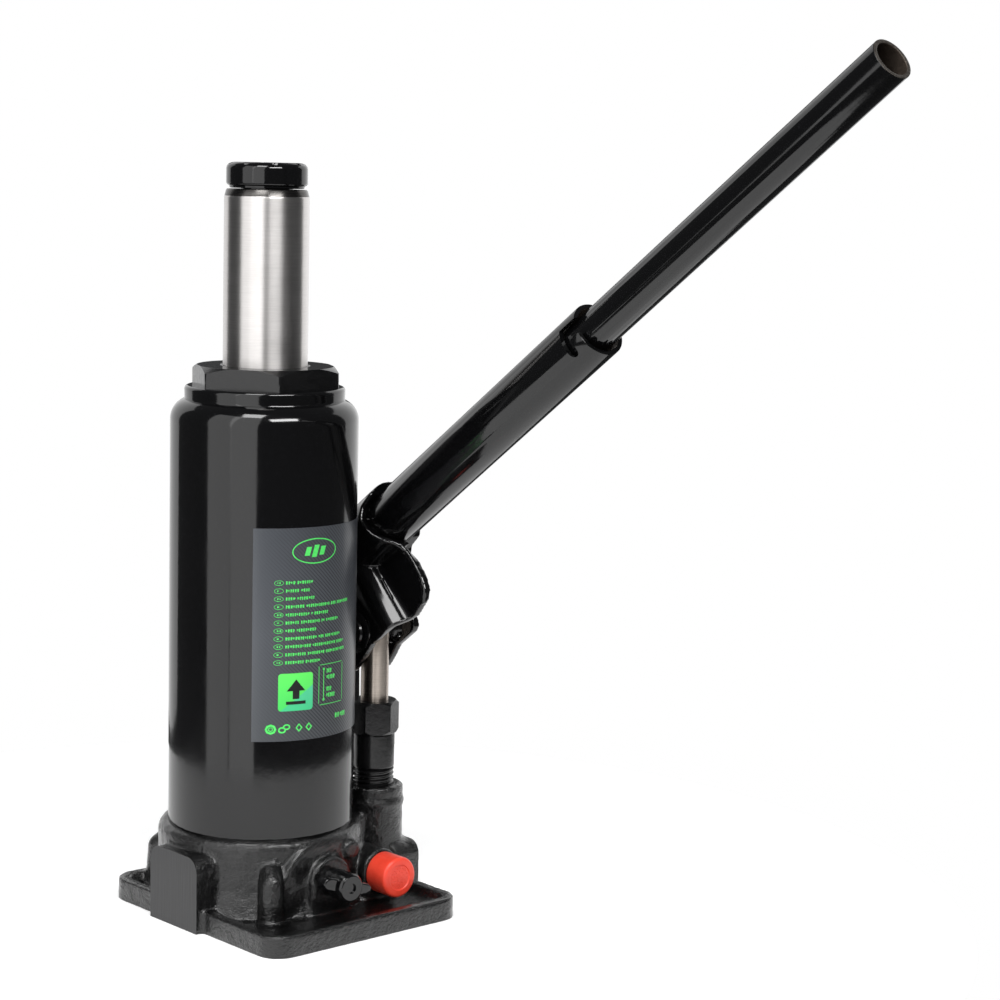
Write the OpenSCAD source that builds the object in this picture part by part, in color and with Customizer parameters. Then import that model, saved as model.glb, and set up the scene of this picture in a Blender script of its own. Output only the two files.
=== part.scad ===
// Hydraulic bottle jack: hand pump, telescopic handle, ram with extension screw.
// Millimetres, +Z up. The ram's axis is the Z axis and the base stands on z = 0.
// +X runs from the ram towards the pump, -Y is the operator's side.

/* [Base casting] */
// Plate edge on the side away from the pump, from the ram's axis
plate_left = 40.5; // [40:0.5:44]
// Plate edge on the pump's side, from the ram's axis
plate_right = 48.5; // [48:0.5:56]
// Plate edge on the operator's side, from the ram's axis
plate_front = 62.5; // [61:0.5:70]
// Plate edge at the back, from the ram's axis
plate_back = 42; // [41.5:0.5:48]
// Height of the plate's raised rim
plate_h = 8; // [7:0.5:9]
// Height of the cup that holds the tank
cup_h = 33; // [32:0.5:36]
// Radius of the cup
cup_r = 38.6; // [38:0.1:39.5]

/* [Tank] */
// Outer radius of the oil tank
tank_r = 35; // [34:0.1:35.2]
// Height of the tank's shoulder above the floor
tank_top = 193.5; // [190:0.5:196]

/* [Ram] */
// Radius of the ram's polished rod
ram_r = 15.75; // [14:0.05:16.5]
// How far the ram stands raised at rest
ram_raised = 64.3; // [0:0.1:100]
// Radius of the saddle on the extension screw
saddle_r = 15; // [14:0.1:15.5]
// Height of the saddle
saddle_h = 9.4; // [8:0.1:11]

/* [Pump] */
// Distance of the pump's axis from the ram's axis along X
pump_x = 51; // [50.5:0.1:52]
// Position of the pump's axis along Y
pump_y = -5; // [-6:0.1:-4]
// Radius of the pump plunger
plunger_r = 5.43; // [5.2:0.01:5.45]

/* [Handle] */
// Elevation of the handle at rest, in degrees
handle_angle = 36; // [30:0.5:42]
// Height at which the handle's axis crosses the pump's axis
handle_cross_z = 138.9; // [136:0.1:142]
// Outer radius of the lower handle tube
lower_tube_r = 10.4; // [10:0.1:10.4]
// Outer radius of the upper handle tube
upper_tube_r = 7.5; // [7:0.1:7.5]
// Reach of the lower tube's mouth along the handle
lower_tube_end = 147.4; // [140:0.1:170]
// Reach of the upper tube's end along the handle
upper_tube_end = 302.5; // [280:0.5:340]

/* [Hidden] */
$fn = 64;
e = 0.05;

// Base casting
plate_corner = 9;
rim_w = 5;
floor_z = 5;
skirt_r = 41.5;
skirt_z = 11;
lip_r = 3;
tank_seat_z = 24;
cylinder_seat_z = 20;
pad_left_x = -43.5;
pad_right_x = 62.8;
pad_y0 = -19;
pad_y1 = 10;
pad_left_h = 27;
pad_right_h = 17.5;
boss_r = 11.6;
boss_h = 40;
lug_y = 17.6;
lug_z = 44;
lug_r = 7;
lug_w = 6;

// Valves on the operator's side
release_x = 2;
release_z = 17;
release_mouth_y = -41.5;
overload_x = 29;
overload_z = 15.2;
overload_mouth_y = -37.5;
spigot_r = 5.5;
spigot_y = -44;
cap_r = 7.4;
cap_y = -48.5;

// Oil passages
centre_port_y = -5;
delivery_z = 17;
suction_z = 6.5;
strainer_x = 27;

// Tank and cylinder
tank_wall = 2.4;
tank_bottom = 25.5;
shoulder_r = 8;
neck_r = 24.6;
ring_r = 29.75;
ring_z0 = 191.4;
ring_z1 = 198;
cylinder_r = 22;
bore_r = 18;
cylinder_z0 = 21.2;
cylinder_z1 = 186;
filler_z = 172;

// Top nut
nut_af = 50;
nut_turn_r = 27.3;
nut_z0 = 198;
nut_z1 = 205.6;
nut_turn = 6;

// Ram and screw
ram_z0 = 22.5 + ram_raised;
ram_z1 = 206.2 + ram_raised;
saddle_z0 = ram_z1 + 0.4;
saddle_z1 = saddle_z0 + saddle_h;
screw_r = 11;
screw_z0 = ram_z1 - 102;

// Pump
pump_z0 = 21.2;
pump_z1 = 73.2;
hex_z0 = 62;
hex_af = 17.2;
neck_r2 = 8.15;
pump_thread_r = 8.05;
thread_pitch = 1.8;
plunger_z0 = 45;
plunger_z1 = 108.5;

// Linkage: plunger pin, fulcrum pin and the link's lower pin, as [y, z]
plunger_pin_yz = [pump_y, 101];
lever_arm = 24;
lever_tilt = 10;
fulcrum_yz = plunger_pin_yz + lever_arm * [cos(lever_tilt), -sin(lever_tilt)];
pin_r = 4;
cheek_out = 9.6;
cheek_in = 6.6;
tail_out = 3;
link_out = 6;
link_in = 3.3;
// Open pivot: a round hole in the cheeks, wide enough for the plunger pin's small side travel
pivot_r = 6.35;
pivot_shift = [-2, 0.3];

// Handle
sleeve_r = 13.3;
sleeve_bore = 10.5;
sleeve_u0 = -28;
sleeve_u1 = 16;
tube_wall = 1.7;
lower_tube_u0 = -25.5;
upper_tube_u0 = 108;
key_w = 6;
key_depth = 9;

// Places children in the handle's frame: Z runs out along the handle, Y points up from it
module along_handle(u = 0)
    translate([pump_x, pump_y, handle_cross_z])
        rotate([90 - handle_angle, 0, 0])
            translate([0, 0, u]) children();

// Lays a shape drawn in the YZ plane and extruded by w with its middle at x
module in_yz(x, w)
    translate([x - w / 2, 0, 0]) rotate([90, 0, 90]) linear_extrude(w) children();

// Cylinder along -Y, from y0 towards the operator to y1
module bore_y(x, z, r, y0, y1)
    translate([x, y0, z]) rotate([90, 0, 0]) cylinder(r = r, h = y0 - y1);

module bore_x(y, z, r, x0, x1)
    translate([x0, y, z]) rotate([0, 90, 0]) cylinder(r = r, h = x1 - x0);

module bore_z(x, y, r, z0, z1)
    translate([x, y, z0]) cylinder(r = r, h = z1 - z0);

module washer(r_out, r_in, z0, z1)
    translate([0, 0, z0]) difference() {
        cylinder(r = r_out, h = z1 - z0);
        translate([0, 0, -1]) cylinder(r = r_in, h = z1 - z0 + 2);
    }

// Block with its vertical corners rounded
module rounded_slab(x0, x1, y0, y1, r, z0, z1)
    translate([0, 0, z0]) {
        translate([x0 + r, y0, 0]) cube([x1 - x0 - 2 * r, y1 - y0, z1 - z0]);
        translate([x0, y0 + r, 0]) cube([x1 - x0, y1 - y0 - 2 * r, z1 - z0]);
        for (x = [x0 + r, x1 - r], y = [y0 + r, y1 - r])
            translate([x, y, 0]) cylinder(r = r, h = z1 - z0);
    }

// Arched boss whose flat face looks at the operator
module arch(x, z, r, y0, y1) {
    bore_y(x, z, r, y0, y1);
    translate([x - r, y1, 0]) cube([2 * r, y0 - y1, z]);
}

// Closed helix of round wire standing on z = 0
module coil(r, wire, pitch, turns, sides = 6, steps = 14) {
    count = turns * steps;
    rings = [for (i = [0:count], k = [0:sides - 1])
        let (a = 360 * i / steps, b = 360 * k / sides, q = r + wire * cos(b))
        [q * cos(a), q * sin(a), wire + pitch * i / steps + wire * sin(b)]];
    walls = [for (i = [0:count - 1], k = [0:sides - 1])
        let (m = (k + 1) % sides)
        [i * sides + k, i * sides + m, (i + 1) * sides + m, (i + 1) * sides + k]];
    ends = [[for (k = [sides - 1:-1:0]) k], [for (k = [0:sides - 1]) count * sides + k]];
    polyhedron(rings, concat([for (w = walls) [w[3], w[2], w[1], w[0]]],
        [for (f = ends) [for (i = [len(f) - 1:-1:0]) f[i]]]));
}

// ---- base ----

module plate()
    difference() {
        rounded_slab(-plate_left, plate_right, -plate_front, plate_back, plate_corner, 0, plate_h);
        rounded_slab(rim_w - plate_left, plate_right - rim_w, rim_w - plate_front,
            plate_back - rim_w, plate_corner - rim_w, floor_z, plate_h + 1);
    }

module cup_body()
    rotate_extrude()
        difference() {
            polygon([[0, 0], [skirt_r, 0], [skirt_r, floor_z], [cup_r + 1.2, skirt_z], [cup_r, skirt_z + 6],
                [cup_r, cup_h], [0, cup_h]]);
            translate([cup_r - lip_r, cup_h - lip_r]) difference() {
                square(lip_r + 1);
                circle(lip_r);
            }
        }

module pad(x0, x1, h, r = 5)
    intersection() {
        translate([x0, pad_y0, 0]) cube([x1 - x0, pad_y1 - pad_y0, h]);
        union() {
            translate([x0, pad_y0, 0]) cube([x1 - x0, pad_y1 - pad_y0, h - r]);
            translate([x0, pad_y0 + r, 0]) cube([x1 - x0, pad_y1 - pad_y0 - 2 * r, h]);
            for (y = [pad_y0 + r, pad_y1 - r]) bore_x(y, h - r, r, x0, x1);
        }
    }

// Round-topped rib standing against the cup, at an angle round the ram
module rib(angle, reach, h, r = 4.2)
    rotate([0, 0, angle]) translate([cup_r - 4, 0, 0]) rotate([90, 0, 90])
        linear_extrude(reach - cup_r + 4) {
            translate([0, h - r]) circle(r);
            translate([-r, 0]) square([2 * r, h - r]);
        }

module link_lug()
    in_yz(pump_x, lug_w) {
        translate([lug_y, lug_z]) circle(lug_r);
        translate([lug_y - lug_r, 0]) square([2 * lug_r, lug_z]);
        translate([0, 0]) square([lug_y, boss_h - 8]);
    }

module passages() {
    // tank and cylinder seats
    bore_z(0, 0, tank_r + 0.1, tank_seat_z, cup_h + 1);
    bore_z(0, 0, cylinder_r + 0.1, cylinder_seat_z, tank_seat_z + 1);
    bore_z(0, centre_port_y, 3, 13, cylinder_seat_z + 1);
    // pump well, suction seat and suction passage
    bore_z(pump_x, pump_y, pump_thread_r + e, 20, boss_h + 1);
    bore_z(pump_x, pump_y, 3, 9.5, 21);
    bore_z(pump_x, pump_y, 1.5, suction_z, 10);
    bore_x(pump_y, suction_z, 1.5, strainer_x, pump_x);
    bore_z(strainer_x, pump_y, 1.5, suction_z, tank_seat_z + 1);
    // delivery passage with its valve chamber, drilled from the pad
    bore_x(pump_y, delivery_z, 1.5, 37, pad_right_x - 3);
    bore_x(pump_y, delivery_z, 3.2, 28, 38);
    bore_x(pump_y, delivery_z, 2, 0, 29);
    bore_x(pump_y, delivery_z, 3.1, 59.2, pad_right_x + 1);
    // overload valve
    bore_y(overload_x, overload_z, 1.5, pump_y, -18);
    bore_y(overload_x, overload_z, 2.6, -17, -30);
    bore_y(overload_x, overload_z, 3.5, -29, spigot_y - 1);
    // hinge hole of the links
    bore_x(lug_y, lug_z, pin_r, pump_x - 10, pump_x + 10);
}

// Stepped bore of the release valve, with the hole that returns oil to the tank
module release_bores() {
    bore_y(release_x, release_z, 1.5, centre_port_y, -19);
    bore_y(release_x, release_z, 3, -18.5, -24);
    bore_y(release_x, release_z, 5, -23, release_mouth_y - 1);
    bore_z(release_x, -26, 1.6, release_z, tank_seat_z + 1);
}

module casting() {
    plate();
    cup_body();
    pad(pad_left_x, -30, pad_left_h, 5);
    pad(pump_x, pad_right_x, pad_right_h, 4);
    bore_z(pump_x, pump_y, boss_r, 0, boss_h);
    translate([34, pump_y - 6.8, 0]) cube([12, 14, cup_h - 4]);
    arch(-4, release_z, 13.5, -20, -38.4);
    arch(release_x, release_z, 9, -30, release_mouth_y);
    arch(overload_x, overload_z, 8.5, -15, overload_mouth_y);
    bore_y(overload_x, overload_z, spigot_r, overload_mouth_y + 1, spigot_y);
    rib(-121, 45.5, 25);
    rib(125, 44, 25);
    rib(62, 44, 25);
    link_lug();
}

module base()
    color("#17181a") difference() {
        difference() {
            casting();
            passages();
        }
        release_bores();
    }

// ---- tank, cylinder and head ----

module tank_profile(inset)
    difference() {
        union() {
            translate([0, tank_bottom - (inset > 0 ? 1 : 0)])
                square([tank_r - inset, tank_top - shoulder_r - tank_bottom + (inset > 0 ? 1 : 0)]);
            translate([0, tank_top - shoulder_r - 1])
                square([tank_r - shoulder_r, shoulder_r + 1 - inset]);
            translate([tank_r - shoulder_r, tank_top - shoulder_r]) circle(shoulder_r - inset);
        }
        translate([-50, 0]) square([50, 300]);
    }

module tank()
    color("#0e0f11") difference() {
        rotate_extrude($fn = 96) difference() {
            union() {
                difference() {
                    tank_profile(0);
                    tank_profile(tank_wall);
                }
                translate([neck_r, ring_z0]) square([ring_r - neck_r, ring_z1 - ring_z0 - 1.5]);
                translate([neck_r, ring_z0]) square([ring_r - neck_r - 1.5, ring_z1 - ring_z0]);
                translate([ring_r - 1.5, ring_z1 - 1.5]) circle(1.5);
            }
            square([neck_r, 300]);
        }
        translate([0, tank_r - 6, filler_z]) rotate([-90, 0, 0]) cylinder(r = 4, h = 10);
    }

module tank_gasket() color("#2b2b2b") washer(tank_r, tank_r - 3.4, tank_seat_z, tank_bottom);

// Rubber plug: the stem fills the tank's filler hole, the cap sits proud of the shell
module filler_plug()
    color("#1c1c1c") translate([0, tank_r - 3.4, filler_z]) rotate([-90, 0, 0]) {
        cylinder(r = 3.95, h = 3.6);
        translate([0, 0, 3.5]) cylinder(r = 6.5, h = 2.4);
        translate([0, 0, 5.9]) cylinder(r = 3, h = 2);
    }

module pressure_cylinder()
    color("#9a9c9e") washer(cylinder_r, bore_r, cylinder_z0, cylinder_z1);

module cylinder_gasket()
    color("#b87346") washer(cylinder_r, bore_r, cylinder_seat_z, cylinder_z0);

module top_nut()
    color("#131416") difference() {
        union() {
            intersection() {
                translate([0, 0, nut_z0]) rotate([0, 0, nut_turn])
                    cylinder(r = nut_af / sqrt(3), h = nut_z1 - nut_z0, $fn = 6);
                rotate_extrude() polygon([[0, nut_z0 - 1], [nut_turn_r, nut_z0 - 1],
                    [nut_turn_r, nut_z1 - 1.6], [nut_turn_r - 2.6, nut_z1], [0, nut_z1]]);
            }
            bore_z(0, 0, neck_r - e, cylinder_z1, nut_z0);
        }
        bore_z(0, 0, ram_r + 0.08, cylinder_z1 - 1, nut_z1 + 1);
        washer(18.5, ram_r, 199.5, 202.5);
        washer(neck_r + 1, 22.6, 192.5, 194.5);
    }

module nut_seal() color("#242424") washer(neck_r - e, 22.6, 192.5, 194.5);

module wiper_ring() color("#202020") washer(18.5, ram_r + 0.05, 199.5, 202.5);

// ---- ram and screw ----

module ram()
    color("#b9babb") difference() {
        rotate_extrude() polygon([[0, ram_z0 + 4], [8, ram_z0 + 4], [8, ram_z0 + 12], [17.6, ram_z0 + 12],
            [17.6, ram_z0 + 14], [16.6, ram_z0 + 14], [16.6, ram_z0 + 20], [17.6, ram_z0 + 20],
            [17.6, ram_z0 + 22], [ram_r, ram_z0 + 22], [ram_r, ram_z1 - 1.6],
            [ram_r - 0.9, ram_z1], [0, ram_z1]]);
        bore_z(0, 0, screw_r + e, ram_z1 - 22, ram_z1 + 1);
        bore_z(0, 0, 11.6, screw_z0 - 4, ram_z1 - 21);
    }

module piston_cup() color("#8a4a2c") washer(bore_r - e, 8, ram_z0 + 4, ram_z0 + 12);

module piston_washer() color("#77797b") bore_z(0, 0, 14, ram_z0, ram_z0 + 4);

module guide_ring() color("#d8c8a0") washer(bore_r - e, 16.6, ram_z0 + 14, ram_z0 + 20);

module extension_screw()
    color("#111214") difference() {
        union() {
            rotate_extrude() polygon([[0, screw_z0], [8.5, screw_z0], [8.5, screw_z0 + 3.5],
                [screw_r, screw_z0 + 5], [screw_r, saddle_z0 - 2], [9.6, saddle_z0 - 1],
                [9.6, saddle_z0], [saddle_r - 0.7, saddle_z0], [saddle_r, saddle_z0 + 1],
                [saddle_r, saddle_z1 - 1.8], [saddle_r - 1.8, saddle_z1], [0, saddle_z1]]);
            bore_z(0, 0, 9.8, screw_z0, screw_z0 + 1);
        }
        // shallow gripping grooves across the saddle
        for (a = [0:45:135]) rotate([0, 0, a + 20])
            translate([-saddle_r - 1, -0.9, saddle_z1 - 0.9]) cube([2 * saddle_r + 2, 1.8, 2]);
        bore_z(0, 0, 4, saddle_z1 - 1.5, saddle_z1 + 1);
    }

// Split snap ring under the screw's thread: it stops against the ram's threaded mouth
module screw_stop_ring()
    color("#8d8f91") difference() {
        washer(11.3, 8.6, screw_z0 + 1.3, screw_z0 + 3.1);
        translate([7, -1.5, screw_z0]) cube([6, 3, 5]);
    }

// ---- pump ----

module pump_cylinder()
    color("#141517") translate([pump_x, pump_y, 0]) difference() {
        union() {
            intersection() {
                translate([0, 0, hex_z0 - 2]) rotate([0, 0, 30])
                    cylinder(r = hex_af / sqrt(3), h = pump_z1 - hex_z0 + 2, $fn = 6);
                rotate_extrude() polygon([[0, hex_z0 - 2], [neck_r2, hex_z0 - 2], [9.8, hex_z0],
                    [9.8, pump_z1 - 1.4], [8.4, pump_z1], [0, pump_z1]]);
            }
            rotate_extrude() polygon(concat([[0, pump_z0], [7.2, pump_z0]],
                [for (i = [0:13]) each [[7.2, pump_z0 + 0.9 + i * thread_pitch],
                    [pump_thread_r, pump_z0 + 1.3 + i * thread_pitch],
                    [pump_thread_r, pump_z0 + 1.9 + i * thread_pitch],
                    [7.2, pump_z0 + 2.3 + i * thread_pitch]]],
                [[7.2, 46.6], [neck_r2, 47.6], [neck_r2, hex_z0 - 1], [0, hex_z0 - 1]]));
        }
        bore_z(0, 0, plunger_r + 0.05, 30, pump_z1 + 1);
        bore_z(0, 0, 2.5, pump_z0 - 1, 31);
    }

module pump_washer() color("#b87346") translate([pump_x, pump_y, 0]) washer(7.9, 3.2, 20, pump_z0);

module pump_plunger()
    color("#a9a297") difference() {
        translate([pump_x, pump_y, 0]) rotate_extrude() polygon([[0, plunger_z0], [plunger_r, plunger_z0],
            [plunger_r, plunger_z0 + 2], [4.2, plunger_z0 + 2], [4.2, plunger_z0 + 6.5],
            [plunger_r, plunger_z0 + 6.5], [plunger_r, plunger_z1 - 2], [plunger_r - 2, plunger_z1],
            [0, plunger_z1]]);
        bore_x(plunger_pin_yz[0], plunger_pin_yz[1], pin_r, pump_x - 8, pump_x + 8);
    }

module plunger_seal()
    color("#1b1b1b") translate([pump_x, pump_y, 0])
        washer(plunger_r + 0.02, 4.2, plunger_z0 + 3.7, plunger_z0 + 6.5);

module backup_ring()
    color("#e8e4d8") translate([pump_x, pump_y, 0])
        washer(plunger_r, 4.2, plunger_z0 + 2, plunger_z0 + 3.7);

// Headed pin along X: head on the tank's side, groove for a clip on the other
module clevis_pin(y, z, out, head_r) {
    bore_x(y, z, pin_r, pump_x - out - 1, pump_x + out + 2.6);
    bore_x(y, z, head_r, pump_x - out - 2.2, pump_x - out - 0.3);
}

module pin_clip(y, z, out)
    difference() {
        bore_x(y, z, 6.6, pump_x + out + 0.4, pump_x + out + 1.6);
        bore_x(y, z, pin_r, pump_x + out, pump_x + out + 2);
        translate([pump_x + out, y - 2, z]) cube([2, 4, 8]);
    }

module plunger_pin() color("#1a1b1c") clevis_pin(plunger_pin_yz[0], plunger_pin_yz[1], cheek_out, 8.2);
module plunger_pin_clip() color("#6f7173") pin_clip(plunger_pin_yz[0], plunger_pin_yz[1], cheek_out);
module fulcrum_pin() color("#1a1b1c") clevis_pin(fulcrum_yz[0], fulcrum_yz[1], cheek_out, 6.5);
module fulcrum_pin_clip() color("#6f7173") pin_clip(fulcrum_yz[0], fulcrum_yz[1], cheek_out);
module link_base_pin() color("#1a1b1c") clevis_pin(lug_y, lug_z, link_out, 6.5);
module base_pin_clip() color("#6f7173") pin_clip(lug_y, lug_z, link_out);

// Two bars that hang the lever's fulcrum from the base
module link_plates() {
    tilt = atan2(fulcrum_yz[0] - lug_y, fulcrum_yz[1] - lug_z);
    length = norm(fulcrum_yz - [lug_y, lug_z]);
    color("#151617") difference() {
        for (s = [-1, 1])
            in_yz(pump_x + s * (link_out + link_in) / 2, link_out - link_in) {
                translate([lug_y, lug_z]) circle(6.8);
                translate(fulcrum_yz) circle(6.8);
                translate([lug_y, lug_z]) rotate(-tilt) translate([-6.8, 0]) square([13.6, length]);
            }
        bore_x(lug_y, lug_z, pin_r + e, pump_x - 10, pump_x + 10);
        bore_x(fulcrum_yz[0], fulcrum_yz[1], pin_r, pump_x - 10, pump_x + 10);
    }
}

// ---- handle socket ----

// Plan of the two cheeks, drawn as [x, along the handle]: wide round the plunger, closed in the tail
module cheek_plan(s)
    polygon([[s * cheek_in, -70], [s * cheek_out, -70], [s * cheek_out, -6], [s * tail_out, 4],
        [s * tail_out, 22], [0, 22], [0, 2.6], [s * cheek_in, -7.6]]);

// Side outline of the cheeks, drawn as [up from the handle's axis, along the handle]
module cheek_outline() {
    fulcrum_v = (fulcrum_yz[0] - pump_y) * sin(handle_angle)
        + (fulcrum_yz[1] - handle_cross_z) * cos(handle_angle);
    fulcrum_u = (fulcrum_yz[1] - handle_cross_z) * sin(handle_angle)
        - (fulcrum_yz[0] - pump_y) * cos(handle_angle);
    polygon([[-8.8, -38], [-8.8, 9], [-16, 10.8], [-23.5, 14.3], [-32, 14.6], [-35.2, 12], [-35.4, -4],
        [-38, -10], [-41, -19], [-43, -28], [-42.4, -35], [-37, -43],
        [fulcrum_v - 5, fulcrum_u - 7], [fulcrum_v, fulcrum_u - 8.6], [fulcrum_v + 7, fulcrum_u - 5]]);
}

module handle_socket()
    color("#101113") difference() {
        union() {
            along_handle(sleeve_u0) cylinder(r = sleeve_r, h = sleeve_u1 - sleeve_u0);
            intersection() {
                // the plan runs through the full height below the handle
                along_handle() rotate([90, 0, 0]) linear_extrude(60) {
                    cheek_plan(-1);
                    cheek_plan(1);
                }
                along_handle() translate([-20, 0, 0]) rotate([90, 0, 90])
                    linear_extrude(40) cheek_outline();
            }
        }
        along_handle(sleeve_u0 + 2) cylinder(r = sleeve_bore, h = 60);
        // the open pivot: the plunger's pin wanders in it while the lever swings
        bore_x(plunger_pin_yz[0] + pivot_shift[0], plunger_pin_yz[1] + pivot_shift[1], pivot_r,
            pump_x - 20, pump_x + 20);
        bore_x(fulcrum_yz[0], fulcrum_yz[1], pin_r + e, pump_x - 20, pump_x + 20);
    }

// ---- handle ----

module lower_handle_tube()
    color("#0f1012") difference() {
        along_handle(lower_tube_u0) cylinder(r = lower_tube_r, h = lower_tube_end - lower_tube_u0);
        along_handle(lower_tube_u0 - 1)
            cylinder(r = lower_tube_r - tube_wall, h = lower_tube_end - lower_tube_u0 + 2);
        // keyhole slots that turn the release valve
        along_handle(lower_tube_end - key_depth)
            translate([-20, -1, 0]) cube([40, key_w, key_depth + 1]);
        along_handle(lower_tube_end - key_depth)
            for (s = [0, 180]) rotate([0, 0, s]) translate([-20, -6.5, 0]) cube([20, 8, 4]);
    }

module guide_bush()
    color("#3a3b3c") along_handle(lower_tube_end - 21)
        washer(lower_tube_r - tube_wall, upper_tube_r + 0.08, 0, 10);

module upper_handle_tube()
    color("#0f1012") along_handle(upper_tube_u0)
        washer(upper_tube_r, upper_tube_r - 1.5, 0, upper_tube_end - upper_tube_u0);

module stop_bush()
    color("#3a3b3c") along_handle(upper_tube_u0)
        washer(lower_tube_r - tube_wall - 0.08, upper_tube_r, 0, 8);

// ---- valves ----

module release_valve()
    color("#121315") translate([release_x, 0, release_z]) rotate([90, 0, 0]) {
        translate([0, 0, 23.5]) cylinder(r1 = 1.2, r2 = 4.2, h = 2.7);
        translate([0, 0, 26.2]) cylinder(r = 4.95, h = 6);
        translate([0, 0, 32.2]) cylinder(r = 3.6, h = 3);
        translate([0, 0, 35.2]) cylinder(r = 4.95, h = 9);
        translate([0, 0, 44.2]) cylinder(r = 5.4, h = 9.3);
        // cross lug that the handle's slots grip
        rotate([0, 0, -17]) {
            translate([-9, -2.4, 46.4]) cube([18, 4.8, 5]);
            for (s = [-1, 1]) translate([s * 9, 0, 46.4]) cylinder(r = 2.4, h = 5);
        }
    }

module release_valve_seal()
    color("#1b1b1b") translate([release_x, 0, release_z]) rotate([90, 0, 0])
        washer(4.98, 3.65, 32.3, 35.1);

module release_ball() color("#b7b9bb") translate([release_x, -20.7, release_z]) sphere(r = 2.4);

module overload_screw()
    color("#8b8d8f") difference() {
        bore_y(overload_x, overload_z, 3.48, -30.5, -41);
        translate([overload_x - 4, -42, overload_z - 0.6]) cube([8, 3, 1.2]);
    }

module overload_spring()
    color("#9b9da0") translate([overload_x, -20.8, overload_z]) rotate([90, 0, 0])
        coil(1.9, 0.35, 1.5, 6);

module overload_ball() color("#b7b9bb") translate([overload_x, -19, overload_z]) sphere(r = 1.75);

module overload_cap()
    color("#e8452f") difference() {
        union() {
            bore_y(overload_x, overload_z, cap_r, overload_mouth_y - 0.3, cap_y + 0.8);
            translate([overload_x, cap_y + 0.8, overload_z]) rotate([90, 0, 0])
                cylinder(r1 = cap_r, r2 = cap_r - 0.8, h = 0.8);
        }
        bore_y(overload_x, overload_z, spigot_r + e, overload_mouth_y, spigot_y - 1);
    }

module suction_ball() color("#b7b9bb") translate([pump_x, pump_y, 11.7]) sphere(r = 2.5);

module delivery_ball() color("#b7b9bb") translate([35.6, pump_y, delivery_z]) sphere(r = 2.5);

module delivery_spring()
    color("#9b9da0") translate([28.1, pump_y, delivery_z]) rotate([0, 90, 0])
        coil(2.1, 0.35, 0.95, 4);

module delivery_plug()
    color("#222325") difference() {
        bore_x(pump_y, delivery_z, 3.08, 59.3, pad_right_x - 0.8);
        translate([pad_right_x - 2.4, pump_y, delivery_z]) rotate([0, 90, 0]) cylinder(r = 1.5, h = 4, $fn = 6);
    }

module oil_strainer()
    color("#c2a45a") translate([strainer_x, pump_y, 0]) difference() {
        union() {
            bore_z(0, 0, 1.45, 21, tank_seat_z);
            bore_z(0, 0, 2.7, tank_seat_z, 28);
        }
        bore_z(0, 0, 1, 20, 27);
    }

// Thin rating label wrapped round the tank
module nameplate()
    color("#55585c") intersection() {
        washer(tank_r + 0.25, tank_r, 70.5, 149.3);
        linear_extrude(200) polygon([[0, 0], [-60, -64.3], [0, -90], [70, -90], [80, -46.2]]);
    }

base();
tank();
tank_gasket();
filler_plug();
pressure_cylinder();
cylinder_gasket();
top_nut();
nut_seal();
wiper_ring();
ram();
piston_cup();
piston_washer();
guide_ring();
extension_screw();
screw_stop_ring();
pump_cylinder();
pump_washer();
pump_plunger();
plunger_seal();
backup_ring();
plunger_pin();
plunger_pin_clip();
handle_socket();
link_plates();
fulcrum_pin();
fulcrum_pin_clip();
link_base_pin();
base_pin_clip();
lower_handle_tube();
guide_bush();
upper_handle_tube();
stop_bush();
release_valve();
release_valve_seal();
release_ball();
overload_screw();
overload_spring();
overload_ball();
overload_cap();
suction_ball();
delivery_ball();
delivery_spring();
delivery_plug();
oil_strainer();
nameplate();
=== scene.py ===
from math import atan2, cos, pi, radians, sin, sqrt

import bmesh
import bpy
from mathutils import Matrix, Vector, noise


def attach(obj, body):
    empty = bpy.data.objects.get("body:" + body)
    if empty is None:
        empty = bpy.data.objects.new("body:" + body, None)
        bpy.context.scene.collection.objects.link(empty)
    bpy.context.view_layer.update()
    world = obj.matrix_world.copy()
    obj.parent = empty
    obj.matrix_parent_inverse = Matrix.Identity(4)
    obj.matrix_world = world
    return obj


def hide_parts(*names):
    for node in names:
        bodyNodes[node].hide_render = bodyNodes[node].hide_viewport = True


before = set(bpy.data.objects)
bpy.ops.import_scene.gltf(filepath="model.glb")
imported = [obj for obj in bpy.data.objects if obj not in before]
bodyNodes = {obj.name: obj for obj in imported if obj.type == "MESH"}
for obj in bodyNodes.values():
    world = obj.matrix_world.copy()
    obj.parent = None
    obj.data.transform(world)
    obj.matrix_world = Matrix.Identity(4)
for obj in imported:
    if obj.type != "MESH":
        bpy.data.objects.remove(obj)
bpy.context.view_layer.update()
mm = 0.001
print("frame loaded,", len(bodyNodes), "nodes")


# ---- small tools ----

def hexColor(text):  # sRGB hex to linear
    parts = [int(text[i:i + 2], 16) / 255 for i in (1, 3, 5)]
    return tuple(p / 12.92 if p <= 0.04045 else ((p + 0.055) / 1.055) ** 2.4 for p in parts) + (1,)


def addNode(tree, kind, inputs=None, links=None, **settings):
    made = tree.nodes.new(kind)
    for key, value in settings.items():
        setattr(made, key, value)
    for key, value in (inputs or {}).items():
        made.inputs[key].default_value = value
    for key, source in (links or {}).items():
        tree.links.new(source, made.inputs[key])
    return made


def newMaterial(name, **sockets):
    made = bpy.data.materials.new(name)
    made.use_nodes = True
    tree = made.node_tree
    tree.nodes.clear()
    shader = addNode(tree, "ShaderNodeBsdfPrincipled", inputs=sockets)
    addNode(tree, "ShaderNodeOutputMaterial", links={"Surface": shader.outputs[0]})
    made.diffuse_color = sockets.get("Base Color", (0.5, 0.5, 0.5, 1))
    return made, tree, shader


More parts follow.
